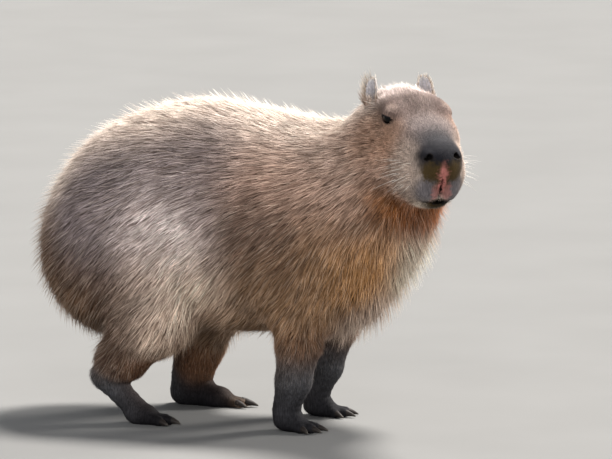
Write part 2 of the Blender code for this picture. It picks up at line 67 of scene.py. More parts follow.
class Tone(Enum):
    """Colours of hair and bare skin, linear. Several also hold painted light and painted shade, as noted
    where they are used.
    """

    CREAM = (0.70, 0.60, 0.50)
    PALE = (0.57, 0.475, 0.410)
    SAND = (0.45, 0.355, 0.297)
    OAT = (0.83, 0.665, 0.540)
    MIST = (0.65, 0.550, 0.525)
    TAN = (0.215, 0.172, 0.168)
    BUFF = (0.36, 0.240, 0.186)
    DUN = (0.175, 0.144, 0.146)
    HAZEL = (0.345, 0.205, 0.138)
    FAWN = (0.096, 0.057, 0.039)
    STRAW = (0.27, 0.162, 0.090)
    HONEY = (0.26, 0.145, 0.069)
    GRIZZLE = (0.108, 0.076, 0.067)
    GOLD = (0.53, 0.257, 0.080)
    AMBER = (0.28, 0.096, 0.012)
    RUST = (0.23, 0.060, 0.005)
    BARK = (0.094, 0.048, 0.025)
    PELT = (0.135, 0.062, 0.030)
    UMBER = (0.115, 0.062, 0.030)
    SMOKE = (0.075, 0.079, 0.088)
    DUSK = (0.155, 0.126, 0.120)
    SLATE = (0.029, 0.028, 0.031)
    SOOT = (0.007, 0.0066, 0.0080)
    ASH = (0.092, 0.083, 0.088)
    # The nose pad's own black, made darker still as painted shade.
    NOSE = (0.0060, 0.0058, 0.0085)
    PINK = (0.300, 0.112, 0.098)
    MUD = (0.038, 0.024, 0.008)
    # Painted shade: near black laid into the slit of the mouth, the cleft of the lip and the nostrils.
    RECESS_SHADE = (0.006, 0.0045, 0.004)


class Frame(Enum):
    """Which axes a place is given in."""

    BODY = "body"
    HEAD = "head"


def at(side: float, fore: float, up: float) -> np.ndarray:
    """A point of the body in the scene's axes."""
    return np.array([side + BODY_SHIFT[0], BODY_SHIFT[1] - fore, up])


def unit(rows: np.ndarray) -> np.ndarray:
    """Rows scaled to length one."""
    return rows / np.maximum(np.linalg.norm(rows, axis=-1, keepdims=True), 1e-9)


def smooth(value: np.ndarray, low: float, high: float) -> np.ndarray:
    """A smooth step from 0 at low to 1 at high."""
    share = np.clip((value - low) / (high - low), 0.0, 1.0)
    return share * share * (3.0 - 2.0 * share)


def union(first: np.ndarray, second: np.ndarray, reach: float) -> np.ndarray:
    """Two fields joined, with a fillet about as wide as reach."""
    overlap = np.maximum(reach - np.abs(first - second), 0.0) / reach
    return np.minimum(first, second) - overlap * overlap * reach * 0.25


def carve(whole: np.ndarray, hole: np.ndarray, reach: float) -> np.ndarray:
    """A field with a hole taken out, and its rim rounded."""
    return -union(-whole, hole, reach)


def near(points: np.ndarray, centre: np.ndarray, radius: float, shape: Field) -> np.ndarray:
    """A field worked out only round a centre, and one metre elsewhere.

    Args:
        points: Rows of points in the scene.
        centre: Middle of the ball in which the shape matters.
        radius: Radius of that ball.
        shape: The field.

    Returns:
        One distance for each point.
    """
    found = np.full(len(points), 1.0)
    inside = ((points - centre) ** 2).sum(axis=1) < radius * radius
    if inside.any():
        found[inside] = shape(points[inside])
    return found


@dataclass(frozen=True)
class Mass:
    """A rounded mass: centre, half sizes, fillet to what came before, lean and boxiness."""

    centre: Triple
    half: Triple
    reach: float = 0.0
    lean: float = 0.0
    power: float = 2.0

    def field(self, points: np.ndarray) -> np.ndarray:
        """Distance, near the surface, from points given in the mass's own axes.

        Args:
            points: Rows of points in those axes.

        Returns:
            One distance for each point.
        """
        from_middle = points - np.array(self.centre)
        scaled = np.abs(from_middle / np.array(self.half))
        if self.power == 2.0:
            size = np.sqrt((scaled * scaled).sum(axis=1))
        else:
            size = (scaled**self.power).sum(axis=1) ** (1.0 / self.power)
        slope = np.linalg.norm(from_middle / np.square(self.half), axis=1)
        return size * (size - 1.0) / np.maximum(slope, 1e-6)


@dataclass(frozen=True)
class Bar:
    """A round bar that tapers from one ball to another."""

    start: Triple
    end: Triple
    start_radius: float
    end_radius: float
    reach: float = 0.014

    def field(self, points: np.ndarray) -> np.ndarray:
        """Distance from points given in the bar's own axes.

        Args:
            points: Rows of points in those axes.

        Returns:
            One distance for each point.
        """
        start, along = np.array(self.start), np.array(self.end) - np.array(self.start)
        share = np.clip((points - start) @ along / (along @ along), 0.0, 1.0)
        radius = self.start_radius + (self.end_radius - self.start_radius) * share
        return np.linalg.norm(points - start - share[:, None] * along, axis=1) - radius


def body_bar(start: Triple, start_radius: float, end: Triple, end_radius: float) -> Bar:
    """A bar between two points of the body, in the scene's axes."""
    return Bar(tuple(at(*start)), tuple(at(*end)), start_radius, end_radius)


@dataclass
class Torso:
    """Rump, haunches, barrel, ribs, brisket and neck, out to the tips of the coat."""

    masses: tuple[Mass, ...] = (
        Mass((0.0, -0.168, 0.370), (0.160, 0.205, 0.184), lean=24.0),
        Mass((0.0, -0.222, 0.296), (0.148, 0.150, 0.150), lean=35.0),
        Mass((0.0, -0.040, 0.386), (0.170, 0.260, 0.218), lean=4.0),
        Mass((0.0, 0.110, 0.372), (0.150, 0.210, 0.198)),
        Mass((0.0, 0.205, 0.330), (0.118, 0.135, 0.150)),
    )
    reach: float = 0.060
    neck: tuple[tuple[Triple, float], ...] = (
        ((0.000, 0.150, 0.398), 0.150),
        ((-0.004, 0.262, 0.432), 0.131),
        ((-0.032, 0.330, 0.510), 0.102),
    )
    neck_reach: float = 0.070

    def field(self, points: np.ndarray) -> np.ndarray:
        """Distance to trunk and neck.

        Args:
            points: Rows of points in the scene.

        Returns:
            One distance for each point.
        """
        whole = None
        for mass in self.masses:
            turn = math.radians(mass.lean)
            along = np.array([0.0, math.cos(turn), -math.sin(turn)])
            across = np.array([0.0, math.sin(turn), math.cos(turn)])
            axes = np.stack([(1.0, 0.0, 0.0), along, across], axis=1)
            local = (points - at(*mass.centre)) @ axes
            found = Mass((0.0, 0.0, 0.0), mass.half).field(local)
            whole = found if whole is None else union(whole, found, self.reach)
        neck = None
        for (start, wide), (end, narrow) in zip(self.neck, self.neck[1:]):
            found = body_bar(start, wide, end, narrow).field(points)
            neck = found if neck is None else union(neck, found, self.neck_reach)
        return union(whole, neck, self.neck_reach)


@dataclass
class Head:
    """The head's place, masses, lids, nostrils, philtrum and mouth.

    Each mass is said to be paired or single, and one that is paired is built on both sides. Sizes
    of the lids are along and across the opening.
    """

    middle: Triple = (-0.0896, 0.3927, 0.5994)
    yaw: float = 46.0
    pitch: float = 8.0
    radius: float = 0.30
    masses: tuple[tuple[bool, Mass | Bar], ...] = (
        (False, Mass((0.0, -0.035, -0.015), (0.064, 0.080, 0.058), power=2.3)),
        (False, Mass((0.0, -0.095, -0.050), (0.070, 0.070, 0.072), 0.040)),
        (False, Bar((0.0, 0.000, -0.022), (0.0, 0.110, -0.061), 0.047, 0.040, 0.030)),
        (False, Mass((0.0, 0.046, -0.060), (0.065, 0.075, 0.056), 0.025)),
        (True, Mass((0.036, -0.020, -0.080), (0.046, 0.075, 0.068), 0.035)),
        (False, Mass((0.0, 0.085, -0.082), (0.054, 0.054, 0.060), 0.030, power=2.8)),
        (True, Bar((0.012, 0.080, -0.116), (0.030, -0.030, -0.103), 0.030, 0.056, 0.020)),
        (False, Mass((0.0, 0.005, -0.105), (0.055, 0.090, 0.048), 0.040)),
        (True, Mass((0.030, 0.100, -0.085), (0.029, 0.034, 0.036), 0.016)),
        (True, Mass((0.047, 0.016, 0.012), (0.016, 0.024, 0.012), 0.012)),
        (True, Mass((0.040, -0.010, 0.012), (0.024, 0.045, 0.020), 0.016)),
        (False, Mass((0.0, 0.030, -0.022), (0.052, 0.060, 0.030), 0.024, power=2.8)),
        (True, Mass((0.043, 0.034, -0.024), (0.018, 0.044, 0.024), 0.026)),
        (False, Mass((0.0, 0.103, -0.130), (0.027, 0.034, 0.016), 0.012)),
        (True, Mass((0.019, 0.121, -0.106), (0.021, 0.021, 0.024), 0.010)),
    )
    eye: Triple = (0.0500, 0.0136, 0.0025)
    eye_radius: float = 0.0156
    gaze: Triple = (0.76, 0.62, 0.12)
    lid: float = 0.0014
    lid_reach: float = 0.0080
    opening: tuple[float, float] = (0.0156, 0.0092)
    opening_shift: tuple[float, float] = (-0.0004, -0.0012)
    upper_lid: tuple[float, float] = (0.0026, 0.02)
    pit_floor: float = 0.0045
    nostril: Mass = Mass((0.0255, 0.1370, -0.0400), (0.0052, 0.0105, 0.0044), 0.0025)
    nostril_wing: Mass = Mass((0.0255, 0.1290, -0.0430), (0.0125, 0.0112, 0.0115), 0.0080)
    nostril_tail: Mass = Mass((0.0305, 0.1350, -0.0440), (0.0048, 0.0090, 0.0024), 0.0025)
    lobe: Mass = Mass((0.0125, 0.1290, -0.1080), (0.0120, 0.0125, 0.0165), 0.0070)
    philtrum: Mass = Mass((0.0, 0.1440, -0.0960), (0.0021, 0.0100, 0.0310), 0.0035)
    mouth: Mass = Mass((0.0, 0.1160, -0.1285), (0.0290, 0.0320, 0.0022), 0.0030)
    mouth_part: Mass = Mass((0.0, 0.1420, -0.1270), (0.0105, 0.0110, 0.0045), 0.0050)
    face_radius: float = 0.20
    lid_rounding: float = 0.0012

    def axes(self) -> np.ndarray:
        """The head's left, forward and up directions, as columns.

        Returns:
            A 3 by 3 matrix.
        """
        yaw, pitch = math.radians(self.yaw), math.radians(self.pitch)
        heading = np.array([-math.sin(yaw), -math.cos(yaw), 0.0])
        upright = np.array([0.0, 0.0, 1.0])
        forward = heading * math.cos(pitch) - upright * math.sin(pitch)
        up = heading * math.sin(pitch) + upright * math.cos(pitch)
        return np.stack([-np.cross(forward, up), forward, up], axis=1)

    def centre(self) -> np.ndarray:
        """The point midway between the eyes."""
        return at(*self.middle)

    def local(self, points: np.ndarray) -> np.ndarray:
        """Points of the scene in the head's axes."""
        return (points - self.centre()) @ self.axes()

    def world(self, points: np.ndarray) -> np.ndarray:
        """Points of the head in the scene's axes."""
        return self.centre() + np.asarray(points) @ self.axes().T

    def outline(self, points: np.ndarray) -> np.ndarray:
        """Distance to the head's masses, out to the tips of the hair.

        Args:
            points: Rows of points in the scene.

        Returns:
            One distance for each point.
        """
        local = self.local(points)
        pairs = local.copy()
        pairs[:, 0] = np.abs(pairs[:, 0])
        whole = None
        for paired, mass in self.masses:
            found = mass.field(pairs if paired else local)
            whole = found if whole is None else union(whole, found, mass.reach)
        return whole

    def field(self, points: np.ndarray) -> np.ndarray:
        """The outline, worked out only round the head."""
        return near(points, self.centre(), self.radius, self.outline)

    def lid_axes(self) -> np.ndarray:
        """Directions along the lids towards the nose, across them upwards, and out of the eye.

        Returns:
            A 3 by 3 matrix with one direction in each column.
        """
        out = unit(np.array(self.gaze))
        fore = unit(np.array([0.0, 1.0, 0.0]) - out * out[1])
        return np.stack([fore, np.cross(fore, out) * -1.0, out], axis=1)

    def details(self, skin: np.ndarray, points: np.ndarray) -> np.ndarray:
        """Adds lids, nostrils, philtrum and mouth to the skin's field.

        Args:
            skin: The field without them.
            points: Rows of points in the scene.

        Returns:
            The field with them.
        """
        found = skin.copy()
        close = ((points - self.centre()) ** 2).sum(axis=1) < self.face_radius**2
        if not close.any():
            return found
        pairs = self.local(points[close])
        pairs[:, 0] = np.abs(pairs[:, 0])
        part = skin[close]
        from_eye = pairs - np.array(self.eye)
        part = union(part, np.linalg.norm(from_eye, axis=1) - self.eye_radius - self.lid, self.lid_reach)
        lid = from_eye @ self.lid_axes()
        across, up = lid[:, 0] - self.opening_shift[0], lid[:, 1] - self.opening_shift[1]
        wide, tall = self.opening
        almond = (np.sqrt((across / wide) ** 2 + (up / tall) ** 2) - 1.0) * tall
        almond = np.maximum(almond, up - self.upper_lid[0] - self.upper_lid[1] * across)
        part = carve(part, np.maximum(almond, self.pit_floor - lid[:, 2]), self.lid_rounding)
        steps = (
            (union, self.nostril_wing),
            (carve, self.nostril),
            (carve, self.nostril_tail),
            (union, self.lobe),
            (carve, self.philtrum),
            (carve, self.mouth),
            (carve, self.mouth_part),
        )
        for change, mass in steps:
            part = change(part, mass.field(pairs), mass.reach)
        found[close] = part
        return found


@dataclass(frozen=True)
class Foot:
    """A foot: the pad's place, heading, toes from inside to outside, and fillets."""

    ball: Triple
    turn: float
    toes: tuple[tuple[float, float], ...]
    pad: Triple = (0.027, 0.033, 0.019)
    toe_radii: tuple[float, float] = (0.0125, 0.0100)
    toe_start: float = 0.008
    sole: float = 0.0015
    reach: float = 0.006

    def toe_ends(self) -> list[tuple[Triple, Triple]]:
        """Start and end of each toe, at toe height.

        Returns:
            A pair of points for each toe.
        """
        ends = []
        for angle, reach in self.toes:
            heading = math.radians(angle + self.turn)
            way = (math.sin(heading), math.cos(heading))
            pair = []
            for distance, radius in zip((self.toe_start, reach), self.toe_radii):
                spot = (self.ball[0] + distance * way[0], self.ball[1] + distance * way[1])
                pair.append((*spot, radius - self.sole))
            ends.append(tuple(pair))
        return ends

    def field(self, points: np.ndarray) -> np.ndarray:
        """Distance to the pad and the toes.

        Args:
            points: Rows of points in the scene.

        Returns:
            One distance for each point.
        """
        whole = Mass(tuple(at(*self.ball)), self.pad).field(points)
        for start, end in self.toe_ends():
            toe = body_bar(start, self.toe_radii[0], end, self.toe_radii[1]).field(points)
            whole = union(whole, toe, self.reach)
        return whole


@dataclass(frozen=True)
class Leg:
    """A leg: chains of (centre, radius), a heel where it has one, and its foot."""

    chains: tuple[tuple[tuple[Triple, float], ...], ...]
    foot: Foot
    heel: tuple[Triple, float] | None = None
    ball_radius: float = 0.022
    reach: float = 0.040
    ankle_reach: float = 0.018
    foot_reach: float = 0.012

    def field(self, points: np.ndarray) -> np.ndarray:
        """Distance to the whole leg.

        Args:
            points: Rows of points in the scene.

        Returns:
            One distance for each point.
        """
        limb = None
        for chain in self.chains:
            part = None
            for (start, wide), (end, narrow) in zip(chain, chain[1:]):
                bar = body_bar(start, wide, end, narrow)
                part = bar.field(points) if part is None else union(part, bar.field(points), bar.reach)
            limb = part if limb is None else union(limb, part, self.reach)
        foot = self.foot.field(points)
        if self.heel:
            sole = body_bar(*self.heel, self.foot.ball, self.ball_radius).field(points)
            foot = union(sole, foot, self.foot_reach)
        return union(limb, foot, self.ankle_reach)


FORE_TOES = ((-30.0, 0.037), (-9.0, 0.048), (12.0, 0.047), (33.0, 0.036))
HIND_TOES = ((-20.0, 0.045), (0.0, 0.056), (20.0, 0.046))
FORE_TOES_RIGHT = tuple((-angle, reach) for angle, reach in FORE_TOES)
HIND_TOES_RIGHT = tuple((-angle, reach) for angle, reach in HIND_TOES)


def four_legs() -> dict[str, Leg]:
    """The legs by name, each with the sizes of its own stance.

    Returns:
        One leg for each name.
    """
    return {
        "fore_right": Leg(
            (
                (
                    ((-0.086, 0.160, 0.300), 0.084),
                    ((-0.094, 0.168, 0.175), 0.045),
                    ((-0.092, 0.156, 0.095), 0.0335),
                    ((-0.090, 0.140, 0.040), 0.0270),
                ),
            ),
            Foot((-0.090, 0.150, 0.016), -4.0, FORE_TOES_RIGHT),
        ),
        "fore_left": Leg(
            (
                (
                    ((0.086, 0.165, 0.300), 0.084),
                    ((0.094, 0.165, 0.175), 0.043),
                    ((0.090, 0.148, 0.095), 0.0320),
                    ((0.087, 0.128, 0.040), 0.0260),
                ),
            ),
            Foot((0.087, 0.138, 0.016), 6.0, FORE_TOES),
        ),
        "hind_right": Leg(
            (
                (((-0.062, -0.180, 0.365), 0.125), ((-0.098, -0.110, 0.235), 0.088)),
                (
                    ((-0.114, -0.125, 0.200), 0.076),
                    ((-0.115, -0.178, 0.125), 0.050),
                    ((-0.114, -0.209, 0.092), 0.031),
                ),
            ),
            Foot((-0.116, -0.140, 0.016), -3.0, HIND_TOES_RIGHT),
            ((-0.114, -0.213, 0.082), 0.0250),
        ),
        "hind_left": Leg(
            (
                (((0.062, -0.165, 0.365), 0.125), ((0.098, -0.085, 0.235), 0.086)),
                (
                    ((0.114, -0.095, 0.190), 0.066),
                    ((0.115, -0.120, 0.115), 0.047),
                    ((0.114, -0.135, 0.058), 0.041),
                ),
            ),
            Foot((0.116, -0.084, 0.016), 6.0, HIND_TOES),
            ((0.114, -0.153, 0.024), 0.0270),
        ),
    }


@dataclass(frozen=True)
class Lie:
    """How the coat lies at one place: its way, length, depth, colour, reach and stand.

    Stand is how much the longer guard hairs stand away from the rest.
    """

    place: Triple
    way: Triple
    length: float
    depth: float
    tone: Tone
    reach: float = 0.075
    stand: float = 1.0
    frame: Frame = Frame.BODY


def head_lie(
    place: Triple,
    way: Triple,
    length: float,
    depth: float,
    tone: Tone,
    reach: float = 0.034,
    stand: float = 0.9,
) -> Lie:
    """A lie given in the head's axes."""
    return Lie(place, way, length, depth, tone, reach, stand, Frame.HEAD)


BODY_LIES = (
    # Pale along the back, partly painted sunlight on its top.
    Lie((0.0, 0.27, 0.53), (0.0, -1.0, -0.40), 0.038, 0.012, Tone.PALE),
    Lie((0.0, 0.14, 0.55), (0.0, -1.0, -0.15), 0.048, 0.015, Tone.PALE),
    Lie((0.0, -0.04, 0.60), (0.0, -1.0, 0.02), 0.056, 0.018, Tone.PALE),
    Lie((0.0, -0.20, 0.56), (0.0, -1.0, -0.32), 0.058, 0.020, Tone.PALE, stand=1.1),
    Lie((0.0, -0.31, 0.47), (0.0, -0.9, -0.75), 0.055, 0.019, Tone.PALE, stand=1.4),
    # Rear of the rump low down: dark, partly painted shade.
    Lie((0.0, -0.37, 0.33), (0.0, -0.45, -1.0), 0.056, 0.019, Tone.BARK, stand=2.2),
    Lie((0.0, -0.31, 0.20), (0.0, 0.00, -1.0), 0.052, 0.016, Tone.UMBER, stand=2.0),
    Lie((0.13, -0.20, 0.46), (0.0, -1.0, -0.85), 0.052, 0.016, Tone.DUN),
    Lie((0.16, -0.24, 0.35), (0.0, -0.9, -1.0), 0.052, 0.016, Tone.DUN),
    # Low on the rump and haunch: dark, partly painted shade under the body.
    Lie((0.10, -0.33, 0.30), (0.0, -0.60, -1.0), 0.052, 0.017, Tone.BARK, stand=1.8),
    Lie((0.13, -0.29, 0.22), (0.0, -0.55, -1.0), 0.050, 0.016, Tone.UMBER, 0.075, 1.8),
    Lie((0.15, -0.19, 0.22), (0.0, -0.62, -1.0), 0.046, 0.013, Tone.FAWN),
    Lie((0.16, -0.13, 0.27), (0.0, -0.80, -1.0), 0.048, 0.014, Tone.FAWN, 0.062),
    Lie((0.15, -0.25, 0.28), (0.0, -0.75, -1.0), 0.051, 0.016, Tone.UMBER, 0.055),
    # Flanks: dark high up and pale low down; the pale lower flank is partly painted bounce light.
    Lie((0.15, 0.00, 0.50), (0.0, -1.0, -0.40), 0.050, 0.015, Tone.TAN),
    Lie((0.17, -0.06, 0.38), (0.0, -1.0, -0.78), 0.050, 0.015, Tone.MIST),
    Lie((0.16, -0.04, 0.26), (0.0, -0.90, -1.0), 0.050, 0.015, Tone.OAT, stand=1.2),
    # Belly: dark, partly painted shade under the body.
    Lie((0.0, 0.00, 0.18), (0.0, -1.0, -0.10), 0.036, 0.012, Tone.UMBER),
    Lie((0.11, 0.02, 0.19), (0.0, -0.60, -1.0), 0.052, 0.014, Tone.STRAW, stand=1.9),
    Lie((0.14, 0.14, 0.47), (0.0, -1.0, -0.42), 0.046, 0.014, Tone.BUFF),
    Lie((0.15, 0.13, 0.37), (0.0, -1.0, -0.95), 0.046, 0.014, Tone.FAWN),
    Lie((0.14, 0.15, 0.27), (0.0, -0.70, -1.0), 0.044, 0.013, Tone.STRAW),
    Lie((0.11, 0.25, 0.35), (0.0, -0.50, -1.0), 0.046, 0.015, Tone.HONEY, stand=1.2),
    Lie((0.075, 0.30, 0.34), (0.0, -0.10, -1.0), 0.048, 0.018, Tone.GOLD, 0.050, 1.6),
    # Cream on the front of the chest, partly painted rim light on its backlit edge.
    Lie((0.0, 0.34, 0.35), (0.0, 0.15, -1.0), 0.054, 0.022, Tone.CREAM, 0.050, 3.2),
    Lie((0.0, 0.31, 0.22), (0.0, 0.05, -1.0), 0.054, 0.021, Tone.SAND, 0.050, 3.2),
    Lie((0.10, 0.26, 0.46), (0.0, -1.0, -0.80), 0.042, 0.013, Tone.BUFF),
    # Rust at the throat, partly painted shade under the head.
    Lie((-0.02, 0.38, 0.44), (0.0, -0.10, -1.0), 0.040, 0.015, Tone.RUST, 0.05, 1.8),
    # Fore leg: darker towards the foot, the near black foot partly painted shade.
    Lie((0.095, 0.165, 0.185), (0.0, -0.15, -1.0), 0.026, 0.007, Tone.PELT, 0.045),
    Lie((0.092, 0.158, 0.130), (0.0, -0.05, -1.0), 0.012, 0.003, Tone.SMOKE, 0.045, 0.6),
    Lie((0.090, 0.145, 0.060), (0.0, 0.0, -1.0), 0.008, 0.0018, Tone.SLATE, 0.042, 0.5),
    Lie((0.089, 0.160, 0.015), (0.0, 0.6, -0.8), 0.005, 0.0008, Tone.SOOT, 0.030, 0.3),
    # Hind leg: darker towards the foot, the near black foot partly painted shade.
    Lie((0.115, -0.185, 0.135), (0.0, -0.5, -1.0), 0.026, 0.006, Tone.FAWN, 0.040, 1.4),
    Lie((0.115, -0.205, 0.085), (0.0, 0.10, -1.0), 0.009, 0.002, Tone.SMOKE, 0.035, 0.5),
    Lie((0.115, -0.120, 0.110), (0.0, 0.0, -1.0), 0.012, 0.003, Tone.PELT, 0.040, 0.6),
    Lie((0.115, -0.170, 0.040), (0.0, 0.5, -1.0), 0.007, 0.0014, Tone.SLATE, 0.035, 0.4),
    Lie((0.115, -0.110, 0.015), (0.0, 1.0, -0.5), 0.005, 0.0008, Tone.SOOT, 0.032, 0.3),
)
HEAD_LIES = (
    # Pale crown and back of the head, partly painted sunlight on the top of the head.
    head_lie((0.0, -0.055, 0.044), (0.0, -1.0, 0.45), 0.015, 0.0050, Tone.MIST, stand=1.4),
    head_lie((0.0, 0.010, 0.030), (0.0, -1.0, 0.55), 0.012, 0.0035, Tone.GRIZZLE, stand=1.2),
    head_lie((0.0, -0.115, 0.015), (0.0, -1.0, -0.2), 0.028, 0.0090, Tone.MIST, stand=1.3),
    head_lie((0.048, 0.020, 0.020), (0.3, -1.0, 0.35), 0.007, 0.0018, Tone.GRIZZLE, 0.022),
    # Dark tones on the bridge of the nose: partly its own grey-brown and partly painted shade.
    head_lie((0.0, 0.065, -0.020), (0.0, -1.0, 0.45), 0.0105, 0.0026, Tone.DUSK, 0.030, 0.8),
    head_lie((0.0, 0.110, -0.020), (0.0, -1.0, 0.6), 0.0065, 0.0014, Tone.SLATE, 0.022, 0.6),
    head_lie((0.030, 0.135, -0.045), (0.3, -1.0, 0.2), 0.003, 0.0006, Tone.NOSE, 0.018, 0.3),
    head_lie((0.060, 0.030, -0.045), (0.25, -1.0, -0.25), 0.012, 0.0030, Tone.HAZEL),
    head_lie((0.070, -0.030, -0.050), (0.20, -1.0, -0.45), 0.019, 0.0060, Tone.HAZEL),
    head_lie((0.070, -0.080, -0.070), (0.15, -1.0, -0.75), 0.028, 0.0100, Tone.BUFF),
    head_lie((0.060, 0.035, -0.100), (0.20, -1.0, -0.55), 0.015, 0.0040, Tone.BUFF),
    # Amber under the jaw, partly painted shade.
    head_lie((0.045, 0.020, -0.145), (0.15, -0.8, -1.0), 0.022, 0.0080, Tone.AMBER),
    # Pale sides of the muzzle, partly painted rim light on backlit fluff.
    head_lie((0.052, 0.095, -0.065), (0.55, -1.0, -0.10), 0.0125, 0.0040, Tone.SAND, 0.028, 1.4),
    head_lie((0.050, 0.095, -0.100), (0.55, -1.0, -0.45), 0.0125, 0.0040, Tone.SAND, 0.028, 1.4),
    head_lie((0.030, 0.128, -0.108), (0.45, -0.2, -1.0), 0.006, 0.0010, Tone.ASH, 0.020, 0.7),
    head_lie((0.0, 0.110, -0.148), (0.0, -0.5, -1.0), 0.012, 0.0030, Tone.CREAM, 0.024),
    # Rust under the chin, partly painted shade.
    head_lie((0.0, 0.050, -0.160), (0.0, -0.5, -1.0), 0.024, 0.0080, Tone.RUST, stand=1.5),
    head_lie((0.0, 0.135, -0.080), (0.3, -0.1, -1.0), 0.003, 0.0006, Tone.MUD, 0.020, 0.3),
)


@dataclass
class CoatMap:
    """The coat's way, length, depth and colour at any place, blended from named lies."""

    head: Head
    lies: tuple[Lie, ...] = BODY_LIES + HEAD_LIES
    chunk: int = 30000
    places: np.ndarray = field(init=False)
    reaches: np.ndarray = field(init=False)
    values: np.ndarray = field(init=False)

    def __post_init__(self) -> None:
        """Sets every lie on both sides of the animal."""
        places, reaches, values = [], [], []
        for lie in self.lies:
            for sign in SIDES.values():
                turn = np.array([sign, 1.0, 1.0])
                place, way = np.array(lie.place) * turn, unit(np.array(lie.way)) * turn
                if lie.frame is Frame.HEAD:
                    place, way = self.head.world(place), self.head.axes() @ way
                else:
                    place, way = at(*place), way * np.array([1.0, -1.0, 1.0])
                places.append(place)
                reaches.append(lie.reach)
                values.append([*way, lie.length, lie.depth, *lie.tone.value, lie.stand])
        self.places, self.reaches, self.values = map(np.array, (places, reaches, values))

    def read(self, points: np.ndarray, columns: slice = slice(None)) -> np.ndarray:
        """Way (3), length, depth, colour (3) and stand at each point.

        Args:
            points: Rows of points in the scene.
            columns: Which of these columns to give.

        Returns:
            One row for each point.
        """
        values = self.values[:, columns]
        found = np.empty((len(points), values.shape[1]))
        squares = (self.places**2).sum(axis=1)
        for start in range(0, len(points), self.chunk):
            part = points[start : start + self.chunk]
            apart = (part**2).sum(axis=1)[:, None] + squares - 2.0 * part @ self.places.T
            apart /= self.reaches**2
            apart -= apart.min(axis=1, keepdims=True)
            share = np.exp(-apart)
            share /= share.sum(axis=1, keepdims=True)
            found[start : start + self.chunk] = share @ values
        return found

    def depth(self, points: np.ndarray) -> np.ndarray:
        """How far the skin lies below the tips of the coat."""
        return self.read(points, slice(4, 5))[:, 0]


@dataclass(frozen=True)
class Patch:
    """A patch laid on the head, own colour in some and painted shade in others: place, half sizes, colour,
    how bare it is, and its soft edge.
    """

    centre: Triple
    half: Triple
    tone: Tone
    bare: float = 0.0
    edge: float = 0.25
    strength: float = 1.0


PATCHES = (
    Patch((0.055, 0.020, 0.022), (0.012, 0.014, 0.008), Tone.SAND, 0.0, 0.5, 0.2),
    # Painted shade: the bridge of the nose is darkened, standing for the shade it lies in when the light
    # comes from behind.
    Patch((0.0, 0.119, -0.022), (0.034, 0.038, 0.024), Tone.SLATE, 0.0, 0.7, 0.75),
    Patch((0.027, 0.134, -0.100), (0.0165, 0.026, 0.026), Tone.ASH, 0.35, 0.5, 0.85),
    # Nose pad: its own black, darkened further by the tone as painted shade.
    Patch((0.0, 0.132, -0.036), (0.043, 0.024, 0.021), Tone.NOSE, 0.95, 0.42),
    Patch((0.022, 0.137, -0.066), (0.017, 0.024, 0.020), Tone.MUD, 0.85, 0.35, 0.95),
    Patch((0.0, 0.142, -0.068), (0.0115, 0.016, 0.017), Tone.PINK, 0.95, 0.45),
    Patch((0.0, 0.142, -0.088), (0.0060, 0.016, 0.020), Tone.PINK, 0.95, 0.45),
    Patch((0.0105, 0.142, -0.108), (0.0085, 0.018, 0.016), Tone.PINK, 0.80, 0.55, 0.55),
    # Painted shade in the cleft of the upper lip.
    Patch((0.0, 0.142, -0.104), (0.0022, 0.018, 0.017), Tone.RECESS_SHADE, 0.95, 0.50),
    Patch((0.0, 0.136, -0.1340), (0.029, 0.032, 0.0115), Tone.MUD, 0.30, 0.4),
    # Painted shade in the slit of the mouth.
    Patch((0.0, 0.132, -0.1275), (0.029, 0.034, 0.0052), Tone.RECESS_SHADE, 1.0, 0.45),
    # Painted shade in the nostril.
    Patch((0.0262, 0.1370, -0.0410), (0.0080, 0.0140, 0.0070), Tone.RECESS_SHADE, 1.0, 0.35),
)


@dataclass
class Ripple:
    """A smooth random field: waves in random directions."""

    rng: np.random.Generator
    scale: float
    waves: int = 8
    stretch: tuple[float, float] = (0.6, 1.6)

    def __post_init__(self) -> None:
        """Draws the waves."""
        self.vectors = unit(self.rng.normal(size=(self.waves, 3))) * math.tau / self.scale
        self.vectors *= self.rng.uniform(*self.stretch, (self.waves, 1))
        self.phases = self.rng.uniform(0.0, math.tau, self.waves)

    def at(self, points: np.ndarray) -> np.ndarray:
        """The field, from about -1 to 1."""
        return np.sin(points @ self.vectors.T + self.phases).sum(axis=1) / math.sqrt(self.waves)


